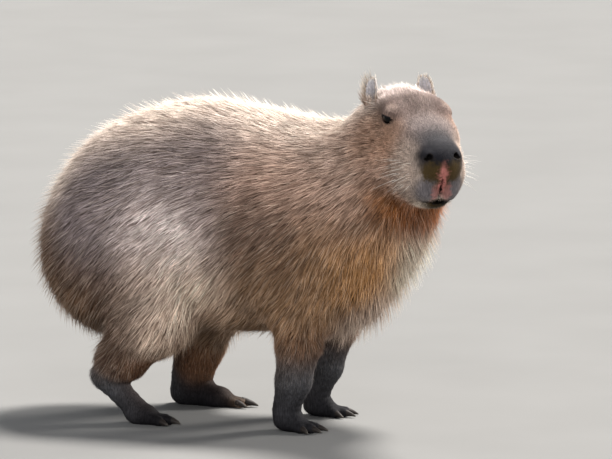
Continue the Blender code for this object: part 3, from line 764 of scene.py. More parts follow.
@dataclass
class MarkingsAndShade:
    """Marks of the head and painted shade, laid alike on skin and coat."""

    head: Head
    patches: tuple[Patch, ...] = PATCHES
    rim: float = 0.0026
    rim_edge: tuple[float, float] = (0.8, 1.15)
    rim_depth: tuple[float, float] = (0.0, 0.006)
    rim_top: tuple[float, float] = (0.0005, 0.0030)
    rim_radius: float = 0.022
    wander: float = 0.0016
    scales: Triple = (0.013, 0.013, 0.005)
    seed: int = 5

    def __post_init__(self) -> None:
        """Draws the unevenness of the markings' edges."""
        rng = np.random.default_rng(self.seed)
        self.unevenness = [Ripple(rng, scale) for scale in self.scales]

    def paint(self, points: np.ndarray, colours: np.ndarray) -> tuple[np.ndarray, np.ndarray]:
        """Lays the marks and the painted shade over colours.

        Args:
            points: Rows of points in the scene.
            colours: The coat's colour at each.

        Returns:
            The colours, and how bare of hair each point is.
        """
        pairs = self.head.local(points)
        shift = np.stack([ripple.at(points) for ripple in self.unevenness], axis=1) * self.wander
        moved = pairs + shift + shift[:, ::-1]
        pairs[:, 0], moved[:, 0] = np.abs(pairs[:, 0]), np.abs(moved[:, 0])
        bare = np.zeros(len(points))
        colours = colours.copy()
        for patch in self.patches:
            size = np.linalg.norm((moved - np.array(patch.centre)) / np.array(patch.half), axis=1)
            share = (1.0 - smooth(size, 1.0 - patch.edge, 1.0 + patch.edge)) * patch.strength
            colours += (np.array(patch.tone.value) - colours) * share[:, None]
            bare = np.maximum(bare, share * patch.bare)
        lid = (pairs - np.array(self.head.eye)) @ self.head.lid_axes()
        wide, tall = self.head.opening
        size = np.hypot(lid[:, 0] / (wide + self.rim), lid[:, 1] / (tall + self.rim))
        rim = (1.0 - smooth(size, *self.rim_edge)) * smooth(lid[:, 2], *self.rim_depth)
        ledge = lid[:, 1] - self.head.upper_lid[0] - self.head.upper_lid[1] * lid[:, 0]
        rim *= 1.0 - smooth(ledge, *self.rim_top)
        rim *= np.linalg.norm(lid, axis=1) < self.rim_radius
        colours += (np.array(Tone.SOOT.value) - colours) * rim[:, None]
        return colours, np.maximum(bare, rim)


@dataclass(frozen=True)
class Focus:
    """A ball in which the skin is meshed more finely, by so many halvings."""

    centre: Triple
    radius: float
    level: int
    frame: Frame = Frame.HEAD

    def holds(self, points: np.ndarray, head: Head, more: float = 0.0) -> np.ndarray:
        """Which points are in the ball, or within so much more of it."""
        centre = head.world(self.centre) if self.frame is Frame.HEAD else at(*self.centre)
        return ((points - centre) ** 2).sum(axis=1) < (self.radius + more) ** 2


FOCUSES = (
    Focus((0.0, 0.060, -0.060), 0.110, 1),
    Focus((0.0, 0.138, -0.085), 0.056, 2),
    Focus((0.060, 0.022, 0.002), 0.021, 3),
    Focus((-0.060, 0.022, 0.002), 0.021, 3),
    Focus((0.028, 0.138, -0.042), 0.014, 3),
    Focus((-0.028, 0.138, -0.042), 0.014, 3),
    Focus((0.0, 0.142, -0.112), 0.021, 3),
    Focus((-0.090, 0.170, 0.010), 0.055, 1, Frame.BODY),
    Focus((0.087, 0.158, 0.010), 0.055, 1, Frame.BODY),
    Focus((-0.116, -0.120, 0.010), 0.055, 1, Frame.BODY),
    Focus((0.116, -0.064, 0.010), 0.055, 1, Frame.BODY),
)
FLESH = (
    "trunk",
    "neck",
    "head",
    "nose",
    "lower_jaw",
    "fore_leg_left",
    "fore_leg_right",
    "fore_foot_left",
    "fore_foot_right",
    "thigh_left",
    "thigh_right",
    "shank_left",
    "shank_right",
    "hind_foot_left",
    "hind_foot_right",
)


@dataclass
class Skin:
    """One skin over the whole animal, a coat's depth inside its outline."""

    torso: Torso
    head: Head
    legs: dict[str, Leg]
    coat: CoatMap
    markings_and_shade: MarkingsAndShade
    cell: float = 0.0040
    block: int = 4
    low: Triple = (-0.26, -0.54, -0.02)
    high: Triple = (0.26, 0.52, 0.72)
    head_reach: float = 0.035
    leg_reach: float = 0.040
    leg_middle: float = 0.20
    leg_radius: float = 0.36
    fold_depth: float = 0.0003
    fold_pitch: float = 0.0115
    fold_low: tuple[float, float] = (0.020, 0.034)
    fold_high: tuple[float, float] = (0.075, 0.100)
    band_cells: float = 3.0
    block_reach: float = 1.3
    slope_step: float = 0.0002
    least_slope: float = 0.3
    # Share of its colour that the skin keeps under deep coat: a darker undercoat, and painted shade between
    # the tufts.
    undercoat_and_gap_shade: float = 0.45
    thin_lengths: tuple[float, float] = (0.006, 0.020)
    halvings: int = 3
    last_steps: int = 3

    def outline(self, points: np.ndarray) -> np.ndarray:
        """Distance to the tips of the coat.

        Args:
            points: Rows of points in the scene.

        Returns:
            One distance for each point.
        """
        whole = union(self.torso.field(points), self.head.field(points), self.head_reach)
        for leg in self.legs.values():
            middle = at(leg.foot.ball[0], leg.foot.ball[1], self.leg_middle)
            found = near(points, middle, self.leg_radius, leg.field)
            whole = union(whole, found, self.leg_reach)
        return whole

    def folds(self, points: np.ndarray) -> np.ndarray:
        """Shallow creases round the wrists and heels.

        Args:
            points: Rows of points in the scene.

        Returns:
            How far each point sinks, in metres.
        """
        height = points[:, 2]
        window = smooth(height, *self.fold_low) * (1.0 - smooth(height, *self.fold_high))
        return self.fold_depth * window * np.sin(height * math.tau / self.fold_pitch)

    def field(self, points: np.ndarray) -> np.ndarray:
        """Distance to the skin, with the head's details and the feet's flat soles."""
        inset = self.outline(points) + self.coat.depth(points) + self.folds(points)
        return np.maximum(self.head.details(inset, points), -points[:, 2])

    def grid(self) -> tuple[np.ndarray, float]:
        """The field on a regular grid, worked out only in the blocks near the surface.

        Returns:
            The values and the width of their band.
        """
        low, high = np.array(self.low), np.array(self.high)
        block = self.cell * self.block
        count = np.ceil((high - low) / block).astype(int)
        band = self.band_cells * self.cell
        corners = np.indices(count).reshape(3, -1).T
        coarse = self.field(low + (corners + 0.5) * block)
        close = np.abs(coarse) < self.block_reach * block + band
        values = np.where(coarse < 0.0, -band, band).astype(np.float32).reshape(count)
        for axis in range(3):
            values = np.repeat(values, self.block, axis=axis)
        steps = np.indices((self.block,) * 3).reshape(3, -1).T
        cells = (corners[close][:, None, :] * self.block + steps).reshape(-1, 3)
        fine = np.clip(self.field(low + cells * self.cell), -band, band)
        values[cells[:, 0], cells[:, 1], cells[:, 2]] = fine
        return values, band

    def settle(self, spots: np.ndarray, steps: int) -> np.ndarray:
        """Moves points onto the skin.

        Args:
            spots: Rows of points near it.
            steps: How often to correct them.

        Returns:
            The points moved.
        """
        for _ in range(steps):
            value = self.field(spots)
            slope = [self.field(spots + self.slope_step * axis) - value for axis in np.eye(3)]
            slope = np.stack(slope, axis=1) / self.slope_step
            size = np.maximum((slope**2).sum(axis=1), self.least_slope)
            shift = slope * (value / size)[:, None]
            length = np.linalg.norm(shift, axis=1, keepdims=True)
            spots = spots - shift * np.minimum(1.0, self.cell * 0.5 / np.maximum(length, 1e-9))
        return spots

    def focus_faces(self, mesh: bpy.types.Mesh, level: int) -> np.ndarray:
        """Indices of the faces to halve at a level.

        Args:
            mesh: The skin so far.
            level: Which halving this is, counted from one.

        Returns:
            One index for each face to halve.
        """
        middles = numbers(mesh.polygons, "center", 3)
        chosen = np.zeros(len(middles), bool)
        for focus in FOCUSES:
            if focus.level >= level:
                chosen |= focus.holds(middles, self.head)
        return np.nonzero(chosen)[0]

    def refine(self, mesh: bpy.types.Mesh) -> None:
        """Halves the mesh where the head and the feet need detail.

        Args:
            mesh: The skin, which is changed.
        """
        for level in range(1, self.halvings + 1):
            shape = bmesh.new()
            shape.from_mesh(mesh)
            shape.faces.ensure_lookup_table()
            faces = [shape.faces[index] for index in self.focus_faces(mesh, level)]
            edges = list({edge for face in faces for edge in face.edges})
            bmesh.ops.subdivide_edges(shape, edges=edges, cuts=1, use_grid_fill=True)
            shape.to_mesh(mesh)
            shape.free()
            spots = numbers(mesh.vertices, "co", 3)
            moved = np.zeros(len(spots), bool)
            for focus in FOCUSES:
                moved |= focus.holds(spots, self.head, self.cell * self.band_cells)
            steps = 1 if level < self.halvings else self.last_steps
            spots[moved] = self.settle(spots[moved], steps)
            mesh.vertices.foreach_set("co", spots.ravel())

    def build(self) -> bpy.types.Object:
        """Meshes the skin, paints it and sets it on the body.

        Returns:
            The skin's object.
        """
        values, band = self.grid()
        grid = openvdb.FloatGrid(band)
        grid.copyFromArray(values)
        grid.transform = openvdb.createLinearTransform(voxelSize=self.cell)
        points, quads = grid.convertToQuads(isovalue=0.0)
        mesh = bpy.data.meshes.new("skin")
        points = self.settle(points + np.array(self.low), 1)
        mesh.from_pydata(points.tolist(), [], quads.tolist())
        outward(mesh)
        self.refine(mesh)
        mesh.shade_smooth()
        spots = numbers(mesh.vertices, "co", 3)
        colours, bare = self.markings_and_shade.paint(spots, self.coat.read(spots, slice(5, 8)))
        # Painted shade: where the coat is deep the skin is darkened, partly for its darker undercoat and
        # partly for the shade between the tufts.
        colours *= (self.undercoat_and_gap_shade + (1.0 - self.undercoat_and_gap_shade) * self.thin(spots, bare))[:, None]
        add_colour(mesh, "marking_and_painted_light", colours)
        add_number(mesh, "bare", bare)
        return piece("skin", mesh, HideFinish().material(), "coat", *FLESH)

    def thin(self, spots: np.ndarray, bare: np.ndarray) -> np.ndarray:
        """How thin the coat is, from 0 where it is deep to 1 where the skin shows."""
        length = self.coat.read(spots, slice(3, 4))[:, 0]
        return np.maximum(1.0 - smooth(length, *self.thin_lengths), bare)


def numbers(items: object, name: str, width: int) -> np.ndarray:
    """One property of all items of a mesh, as rows of numbers.

    Args:
        items: Vertices, faces or other items of a mesh.
        name: The property's name.
        width: How many numbers it has for each item.

    Returns:
        One row for each item.
    """
    found = np.empty(len(items) * width, np.float32)
    items.foreach_get(name, found)
    return found.reshape(-1, width).astype(float)


def outward(mesh: bpy.types.Mesh) -> None:
    """Turns all faces of a closed mesh outwards.

    Args:
        mesh: The mesh, which is changed.
    """
    shape = bmesh.new()
    shape.from_mesh(mesh)
    bmesh.ops.recalc_face_normals(shape, faces=shape.faces)
    shape.to_mesh(mesh)
    shape.free()


def add_colour(mesh: bpy.types.Mesh, name: str, colours: np.ndarray) -> None:
    """Gives each vertex a colour.

    Args:
        mesh: The mesh, which is changed.
        name: Name of the attribute.
        colours: One linear colour for each vertex.
    """
    layer = mesh.attributes.new(name, "FLOAT_COLOR", "POINT")
    rows = np.concatenate([colours, np.ones((len(colours), 1))], axis=1)
    layer.data.foreach_set("color", rows.astype(np.float32).ravel())


def add_number(mesh: bpy.types.Mesh, name: str, values: np.ndarray) -> None:
    """Gives each vertex a number."""
    layer = mesh.attributes.new(name, "FLOAT", "POINT")
    layer.data.foreach_set("value", values.astype(np.float32))


def piece(
    name: str, mesh: bpy.types.Mesh, material: bpy.types.Material, slot: str, *nodes: str
) -> bpy.types.Object:
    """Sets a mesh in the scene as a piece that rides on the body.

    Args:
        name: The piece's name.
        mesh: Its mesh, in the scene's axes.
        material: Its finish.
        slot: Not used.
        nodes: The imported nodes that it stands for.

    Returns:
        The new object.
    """
    mesh.materials.append(material)
    made = bpy.data.objects.new(name, mesh)
    bpy.context.scene.collection.objects.link(made)
    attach(made, "root")
    if nodes:
        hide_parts(*nodes)
    triangles = len(mesh.loops) - 2 * len(mesh.polygons)
    log.info("%s: %d triangles", name, triangles)
    return made


@dataclass(frozen=True)
class Roots:
    """Where tufts grow: places, normals, ways, lengths, lifts, widths, colours and stiffness."""

    places: np.ndarray
    normals: np.ndarray
    ways: np.ndarray
    lengths: np.ndarray
    lifts: np.ndarray
    widths: np.ndarray
    colours: np.ndarray
    stiffness: np.ndarray

    def some(self, chosen: np.ndarray) -> "Roots":
        """The chosen ones."""
        return Roots(*(getattr(self, name)[chosen] for name in self.__dataclass_fields__))


@dataclass
class TuftMaker:
    """Makes joined meshes of thin, tapering, closed tufts."""

    rng: np.random.Generator
    sink: float = 0.0012
    middle: float = 0.52
    bend: tuple[float, float] = (1.30, 0.62)
    stiff_bend: tuple[float, float] = (1.05, 0.92)
    stiff_pull: float = 0.3
    taper: float = 0.80
    straight: float = 0.013
    flat: float = 0.55
    patch: float = 0.003
    floor_gap: float = 0.0012
    shared_tone: float = 0.5
    farthest_pull: float = 0.6
    pull_spread: tuple[float, float] = (0.3, 1.0)
    middle_pull: float = 0.45
    facing: tuple[float, float] = (0.85, 0.75)
    corners: Triple = (90.0, 210.0, 330.0)
    lift_limits: tuple[float, float] = (0.02, 1.2)

    def centre_lines(self, roots: Roots, pull: np.ndarray, per_clump: int) -> tuple[np.ndarray, np.ndarray]:
        """Root, middle and tip of every tuft, drawn together in clumps.

        Args:
            roots: Where the tufts grow.
            pull: How far each tip leans to the tip of its clump.
            per_clump: How many tufts share a clump.

        Returns:
            An array of tufts by 3 stations by 3 axes, and a tone from 0 to 1 for each tuft.
        """
        count = len(roots.places)
        stiff = roots.stiffness[:, None]
        lift = np.clip(roots.lifts, *self.lift_limits)[:, None]
        rises = [lift * (soft + (hard - soft) * stiff) for soft, hard in zip(self.bend, self.stiff_bend)]
        first, second = (roots.ways * np.cos(rise) + roots.normals * np.sin(rise) for rise in rises)
        length = roots.lengths[:, None]
        start = roots.places - roots.normals * self.sink
        half = start + first * length * self.middle
        tip = half + second * length * (1.0 - self.middle)
        leaders = self.rng.choice(count, max(1, count // per_clump), replace=False)
        tree = KDTree(len(leaders))
        for leader in leaders:
            tree.insert(roots.places[leader], int(leader))
        tree.balance()
        nearest = np.array([tree.find(place)[1] for place in roots.places])
        toward = tip[nearest] - tip
        away = np.linalg.norm(toward, axis=1, keepdims=True)
        toward *= np.minimum(1.0, self.farthest_pull * length / np.maximum(away, 1e-9))
        share = pull[:, None] * self.rng.uniform(*self.pull_spread, (count, 1))
        share = share * (1.0 + (self.stiff_pull - 1.0) * stiff)
        side = toward - roots.normals * (toward * roots.normals).sum(axis=1, keepdims=True)
        lines = np.stack([start, half + side * share * self.middle_pull, tip + side * share], axis=1)
        lines[:, :, 2] = np.maximum(lines[:, :, 2], self.floor_gap)
        own = self.rng.uniform(0.0, 1.0, count)
        return lines, own + (own[nearest] - own) * self.shared_tone

    def tufts(
        self, roots: Roots, lines: np.ndarray, tones: np.ndarray, uv: np.ndarray, rings: int
    ) -> list[np.ndarray]:
        """Closed tufts of three-sided rings that taper to a tip.

        Args:
            roots: Where the tufts grow.
            lines: Their centre lines.
            tones: A tone for each tuft.
            uv: Each root's place on the unwrap of the skin.
            rings: How many rings each tuft has: one if it is straight, two if it bends.

        Returns:
            Vertices and their normals, three vertex numbers for each triangle, a map point for each
            of those, and each vertex's share of the length, tone and colour.
        """
        spots, normals = [], []
        for ring in range(rings):
            axis = unit(lines[:, 2 if rings == 1 else ring + 1] - lines[:, ring])
            up = unit(roots.normals - axis * (roots.normals * axis).sum(axis=1, keepdims=True))
            side = np.cross(up, axis)
            width = (roots.widths * self.taper**ring)[:, None]
            for angle in np.radians(self.corners):
                offset = side * math.cos(angle) + up * math.sin(angle) * self.flat
                spots.append(lines[:, ring] + offset * width)
                normals.append(unit(roots.normals * self.facing[0] + offset * self.facing[1]))
        spots.append(lines[:, 2])
        normals.append(roots.normals)
        faces = [(0, 2, 1)]
        for low in range(0, 3 * rings, 3):
            for corner, after in ((0, 1), (1, 2), (2, 0)):
                if low + 3 < 3 * rings:
                    faces.append((low + corner, low + after, low + after + 3))
                    faces.append((low + corner, low + after + 3, low + corner + 3))
                else:
                    faces.append((low + corner, low + after, low + 3))
        faces = np.array(faces)
        across = np.append(np.tile((0.0, 0.5, 1.0), rings), 0.5)
        along = np.append(np.repeat(np.arange(rings) / rings, 3), 1.0)
        offsets = np.stack([across, along], axis=1)[faces.ravel()]
        offsets[0:3] = ((0.0, 0.0), (0.5, 0.1), (1.0, 0.0))
        size = len(spots)
        return [
            np.stack(spots, axis=1).reshape(-1, 3),
            np.stack(normals, axis=1).reshape(-1, 3),
            (np.arange(len(lines))[:, None] * size + faces.reshape(1, -1)).ravel(),
            (uv[:, None, :] + offsets * self.patch).reshape(-1, 2),
            np.tile(along, len(lines)),
            np.repeat(tones, size),
            np.repeat(roots.colours, size, axis=0),
        ]

    def mesh(
        self, name: str, roots: Roots, lines: np.ndarray, tones: np.ndarray, uv: np.ndarray
    ) -> bpy.types.Mesh:
        """Builds the closed tufts round their centre lines, the short ones straight.

        Args:
            name: The mesh's name.
            roots: Where the tufts grow.
            lines: Their centre lines.
            tones: A random number for each tuft.
            uv: Each root's place on the unwrap of the skin, from 0 to 1.

        Returns:
            The mesh, with its colours and its OFBake map.
        """
        short = roots.lengths < self.straight
        parts = []
        for chosen, rings in ((~short, 2), (short, 1)):
            parts.append(self.tufts(roots.some(chosen), lines[chosen], tones[chosen], uv[chosen], rings))
        parts[1][2] += len(parts[0][0])
        joined = (np.concatenate(pair) for pair in zip(*parts))
        spots, facing, corners, spread, along, shades, colours = joined
        mesh = mesh_from(name, spots, corners)
        layer = mesh.uv_layers.new(name="OFBake")
        layer.uv.foreach_set("vector", spread.astype(np.float32).ravel())
        add_number(mesh, "along", along)
        add_number(mesh, "tone", shades)
        add_colour(mesh, "marking_and_painted_light", colours)
        mesh.normals_split_custom_set_from_vertices(facing.astype(np.float32))
        return mesh


def tube_walls(rings: int, sides: int) -> list[tuple[int, int, int]]:
    """Triangles between the rings of a tube whose vertices are numbered ring by ring.

    Args:
        rings: How many rings there are.
        sides: How many vertices a ring has.

    Returns:
        Three vertex numbers for each triangle.
    """
    faces = []
    for ring in range(rings - 1):
        for side in range(sides):
            first, second = ring * sides + side, ring * sides + (side + 1) % sides
            faces += [(first, second, second + sides), (first, second + sides, first + sides)]
    return faces


def mesh_from(name: str, spots: np.ndarray, corners: np.ndarray) -> bpy.types.Mesh:
    """A smooth mesh of triangles.

    Args:
        name: Its name.
        spots: Its vertices.
        corners: Three vertex numbers for each triangle, in one row.

    Returns:
        The mesh.
    """
    mesh = bpy.data.meshes.new(name)
    mesh.vertices.add(len(spots))
    mesh.vertices.foreach_set("co", spots.astype(np.float32).ravel())
    mesh.loops.add(len(corners))
    mesh.loops.foreach_set("vertex_index", corners.astype(np.int32))
    mesh.polygons.add(len(corners) // 3)
    mesh.polygons.foreach_set("loop_start", np.arange(0, len(corners), 3, dtype=np.int32))
    mesh.update(calc_edges=True)
    mesh.shade_smooth()
    return mesh


class Zone(Enum):
    """Parts of the coat, each unwrapped round an axis of its own."""

    HEAD = "head"
    SHOULDER = "shoulder"
    FLANK = "flank"
    RUMP = "rump"
    FORE_LEGS = "fore_legs"
    HIND_LEGS = "hind_legs"


@dataclass
class Coat:
    """The coat of tufts over the skin."""

    skin: bpy.types.Object
    coat: CoatMap
    markings_and_shade: MarkingsAndShade
    head: Head
    legs: dict[str, Leg]
    rng: np.random.Generator
    spacing_base: float = 0.00130
    spacing_per_length: float = 0.0365
    width_share: float = 0.27
    length_spread: tuple[float, float] = (0.72, 1.12)
    guard_share: float = 0.17
    guard_more: float = 0.5
    guard_width: float = 0.60
    guard_length: tuple[float, float] = (0.82, 0.10)
    guard_lift: float = 0.95
    guard_most: float = 0.92
    proud: tuple[float, float] = (0.024, 0.010)
    # How far long guard hairs are paled towards cream: painted rim light at the outline.
    guard_rim_light: float = 0.50
    guard_mix: tuple[float, float] = (0.45, 1.10)
    guard_ceiling: float = 0.85
    stray: float = 0.14
    sway: float = 0.07
    pull: float = 0.30
    short_pull: float = 0.3
    per_clump: int = 5
    bare_edge: tuple[float, float] = (0.15, 0.60)
    sole_height: float = 0.004
    sway_scales: tuple[float, float] = (0.055, 0.018)
    sway_lengths: tuple[float, float] = (0.010, 0.030)
    fine_sway: float = 0.5
    shade: float = 0.10
    shade_scales: tuple[float, float] = (0.090, 0.012)
    shade_limits: tuple[float, float] = (0.5, 1.6)
    slope_limits: tuple[float, float] = (0.03, 0.9)
    lift_spread: tuple[float, float] = (0.60, 1.25)
    width_spread: tuple[float, float] = (0.75, 1.25)
    pale_lengths: tuple[float, float] = (0.006, 0.016)
    pull_lengths: tuple[float, float] = (0.012, 0.032)
    eye_hair: float = 0.0022
    eye_ring: tuple[float, float] = (0.0210, 0.1200)
    leg_tops: tuple[float, float] = (0.165, 0.150)
    zone_edges: tuple[float, float] = (0.135, -0.100)
    axis_height: float = 0.36
    fore_leg_from: float = 0.04
    hind_leg_to: float = -0.02
    head_from: tuple[float, float] = (-0.115, 0.40)
    head_axis: Triple = (0.0, 0.02, 0.055)
    foot_axis: Triple = (0.0, 0.015, 0.0)
    leg_turn: float = 0.96
    seam_slant: float = 0.3
    map_edge: tuple[float, float] = (0.01, 0.97)

    def sample(self) -> tuple[np.ndarray, np.ndarray]:
        """Spreads roots evenly over the skin, closer where the hair is short.

        Returns:
            Places and normals.
        """
        mesh = self.skin.data
        mesh.calc_loop_triangles()
        spots = numbers(mesh.vertices, "co", 3)
        normals = numbers(mesh.vertices, "normal", 3)
        corners = numbers(mesh.loop_triangles, "vertices", 3).astype(int)
        first, second, third = (spots[corners[:, k]] for k in range(3))
        area = np.linalg.norm(np.cross(second - first, third - first), axis=1) / 2.0
        middles = (first + second + third) / 3.0
        spacing = self.spacing(self.coat.read(middles, slice(3, 4))[:, 0])
        _, bare = self.markings_and_shade.paint(middles, np.zeros((len(middles), 3)))
        weight = area / spacing**2 * (1.0 - smooth(bare, *self.bare_edge))
        weight[middles[:, 2] < self.sole_height] = 0.0
        ends = np.cumsum(weight)
        count = int(ends[-1])
        draws = (np.arange(count) + self.rng.uniform(0.0, 1.0, count)) * ends[-1] / count
        chosen = np.minimum(np.searchsorted(ends, draws), len(ends) - 1)
        shares = self.rng.uniform(0.0, 1.0, (count, 2))
        root = np.sqrt(shares[:, 0])
        parts = np.stack([1.0 - root, root * (1.0 - shares[:, 1]), root * shares[:, 1]], axis=1)
        places = (spots[corners[chosen]] * parts[:, :, None]).sum(axis=1)
        facing = unit((normals[corners[chosen]] * parts[:, :, None]).sum(axis=1))
        return places, facing

    def spacing(self, length: np.ndarray) -> np.ndarray:
        """Distance between roots, for hair of this length."""
        return self.spacing_base + self.spacing_per_length * length

    def roots(self) -> Roots:
        """Every tuft's root with its way, length, lift, width, colour and stiffness.

        Returns:
            The roots of the whole coat.
        """
        places, normals = self.sample()
        count = len(places)
        values = self.coat.read(places)
        way, length, depth = values[:, 0:3], values[:, 3], values[:, 4]
        way = unit(way - normals * (way * normals).sum(axis=1, keepdims=True))
        wide, fine = (Ripple(self.rng, scale).at(places) for scale in self.sway_scales)
        turn = self.sway * (wide * smooth(length, *self.sway_lengths) + self.fine_sway * fine)
        turn += self.stray * self.rng.normal(size=count)
        side = np.cross(normals, way)
        way = unit(way * np.cos(turn)[:, None] + side * np.sin(turn)[:, None])
        stand = values[:, 8]
        paired = self.head.local(places)
        paired[:, 0] = np.abs(paired[:, 0])
        from_eye = np.linalg.norm(paired - np.array(self.head.eye), axis=1)
        length = np.minimum(length, self.eye_hair + smooth(from_eye, *self.eye_ring))
        share = self.guard_share * (1.0 + self.guard_more * np.maximum(stand - 1.0, 0.0))
        guard = self.rng.uniform(size=count) < share
        lift = np.arcsin(np.clip(depth / length, *self.slope_limits))
        lift *= self.rng.uniform(*self.lift_spread, count)
        proud = depth + self.proud[0] - self.proud[1] * np.abs(normals[:, 0])
        most = np.minimum(self.guard_most, np.arcsin(np.clip(proud / length, *self.slope_limits)))
        raised = np.minimum(lift * (1.0 + self.guard_lift * stand), most)
        lift = np.where(guard, raised, lift)
        width = self.width_share * self.spacing(length) * self.rng.uniform(*self.width_spread, count)
        width *= np.where(guard, self.guard_width, 1.0)
        colours, _ = self.markings_and_shade.paint(places, values[:, 5:8])
        shade = 1.0 + self.shade * sum(Ripple(self.rng, scale).at(places) for scale in self.shade_scales)
        colours *= np.clip(shade, *self.shade_limits)[:, None]
        # Painted rim light: long guard hairs are paled towards cream, standing for the bright halo of
        # backlit hairs at the outline.
        pale = np.where(guard, self.guard_rim_light * smooth(length, *self.pale_lengths), 0.0)[:, None]
        wanted = self.guard_mix[0] * np.array(Tone.CREAM.value) + self.guard_mix[1] * colours
        colours += (np.minimum(wanted, self.guard_ceiling) - colours) * pale
        longer = self.guard_length[0] + self.guard_length[1] * stand
        length = length * np.where(guard, longer, 1.0) * self.rng.uniform(*self.length_spread, count)
        return Roots(places, normals, way, length, lift, width, colours, guard.astype(float))

    def zones(self, places: np.ndarray) -> np.ndarray:
        """Which zone each place is in, as an index into the list of zones.

        Args:
            places: Rows of points in the scene.

        Returns:
            One index for each place.
        """
        names = list(Zone)
        fore, up = BODY_SHIFT[1] - places[:, 1], places[:, 2]
        found = np.full(len(places), names.index(Zone.FLANK))
        found[fore > self.zone_edges[0]] = names.index(Zone.SHOULDER)
        found[fore < self.zone_edges[1]] = names.index(Zone.RUMP)
        found[(up < self.leg_tops[0]) & (fore > self.fore_leg_from)] = names.index(Zone.FORE_LEGS)
        found[(up < self.leg_tops[1]) & (fore < self.hind_leg_to)] = names.index(Zone.HIND_LEGS)
        local = self.head.local(places)
        found[(local[:, 1] > self.head_from[0]) & (up > self.head_from[1])] = names.index(Zone.HEAD)
        return found

    def unwrap(self, zone: Zone, places: np.ndarray) -> np.ndarray:
        """Places on an unwrap of the skin round the zone's own axis, from 0 to 1.

        Args:
            zone: The zone.
            places: Roots in it.

        Returns:
            Rows of u and v.
        """
        if zone in (Zone.FORE_LEGS, Zone.HIND_LEGS):
            left = places[:, 0] > BODY_SHIFT[0]
            prefix = "fore_" if zone is Zone.FORE_LEGS else "hind_"
            turn = np.empty(len(places))
            for name, chosen in (("left", left), ("right", ~left)):
                middle = at(*self.legs[prefix + name].foot.ball)
                local = places[chosen] - middle - np.array(self.foot_axis)
                turn[chosen] = np.arctan2(local[:, 0], local[:, 1])
            turn = turn / math.tau * self.leg_turn + np.where(left, 1.5, 0.5)
            along = places[:, 2] + self.seam_slant * np.abs(turn % 1.0 - 0.5)
        else:
            middle = at(0.0, sum(self.zone_edges) / 2.0, self.axis_height)
            local = places - middle
            if zone is Zone.HEAD:
                local = self.head.local(places) + np.array(self.head_axis)
            turn = np.arctan2(local[:, 0], local[:, 2])
            along = np.arctan2(local[:, 1], np.hypot(local[:, 0], local[:, 2]))
        uv = np.stack([turn, along], axis=1)
        low, high = uv.min(axis=0), uv.max(axis=0)
        return self.map_edge[0] + self.map_edge[1] * (uv - low) / (high - low)

    def build(self) -> list[bpy.types.Object]:
        """Grows the coat, one piece for each zone and side.

        Returns:
            The pieces of the coat.
        """
        roots = self.roots()
        maker = TuftMaker(self.rng)
        full = smooth(roots.lengths, *self.pull_lengths)
        pull = self.pull * (self.short_pull + (1.0 - self.short_pull) * full)
        lines, tones = maker.centre_lines(roots, pull, self.per_clump)
        zones, left = self.zones(roots.places), roots.places[:, 0] > BODY_SHIFT[0]
        on_head = zones == list(Zone).index(Zone.HEAD)
        left = np.where(on_head, self.head.local(roots.places)[:, 0] > 0.0, left)
        material = CoatFinish().material()
        made = []
        for index, zone in enumerate(Zone):
            for side, sign in (("left", left), ("right", ~left)):
                chosen = (zones == index) & sign
                some = roots.some(chosen)
                uv = self.unwrap(zone, some.places)
                name = f"coat_{zone.value}_{side}"
                mesh = maker.mesh(name, some, lines[chosen], tones[chosen], uv)
                made.append(piece(name, mesh, material, "coat"))
        return made


@dataclass
class Eyes:
    """Two glossy eyeballs with a slight bulge where the cornea is."""

    head: Head
    columns: int = 40
    rows: int = 28
    bulge: float = 0.0006
    cornea: float = 0.62

    def build(self) -> None:
        """Makes both eyeballs."""
        material = EyeFinish().material()
        for side, sign in SIDES.items():
            mesh = bpy.data.meshes.new("eyeball_" + side)
            shape = bmesh.new()
            bmesh.ops.create_uvsphere(shape, u_segments=self.columns, v_segments=self.rows, radius=1.0)
            shape.to_mesh(mesh)
            shape.free()
            ways = numbers(mesh.vertices, "co", 3)
            swell = smooth(ways[:, 2], self.cornea, 1.0) * self.bulge
            local = self.head.lid_axes() @ (ways * (self.head.eye_radius + swell)[:, None]).T
            spots = (local.T + np.array(self.head.eye)) * np.array([sign, 1.0, 1.0])
            mesh.vertices.foreach_set("co", self.head.world(spots).astype(np.float32).ravel())
            outward(mesh)
            add_number(mesh, "iris", ways[:, 2])
            mesh.shade_smooth()
            piece("eyeball_" + side, mesh, material, "eye_gloss", "eye_" + side)


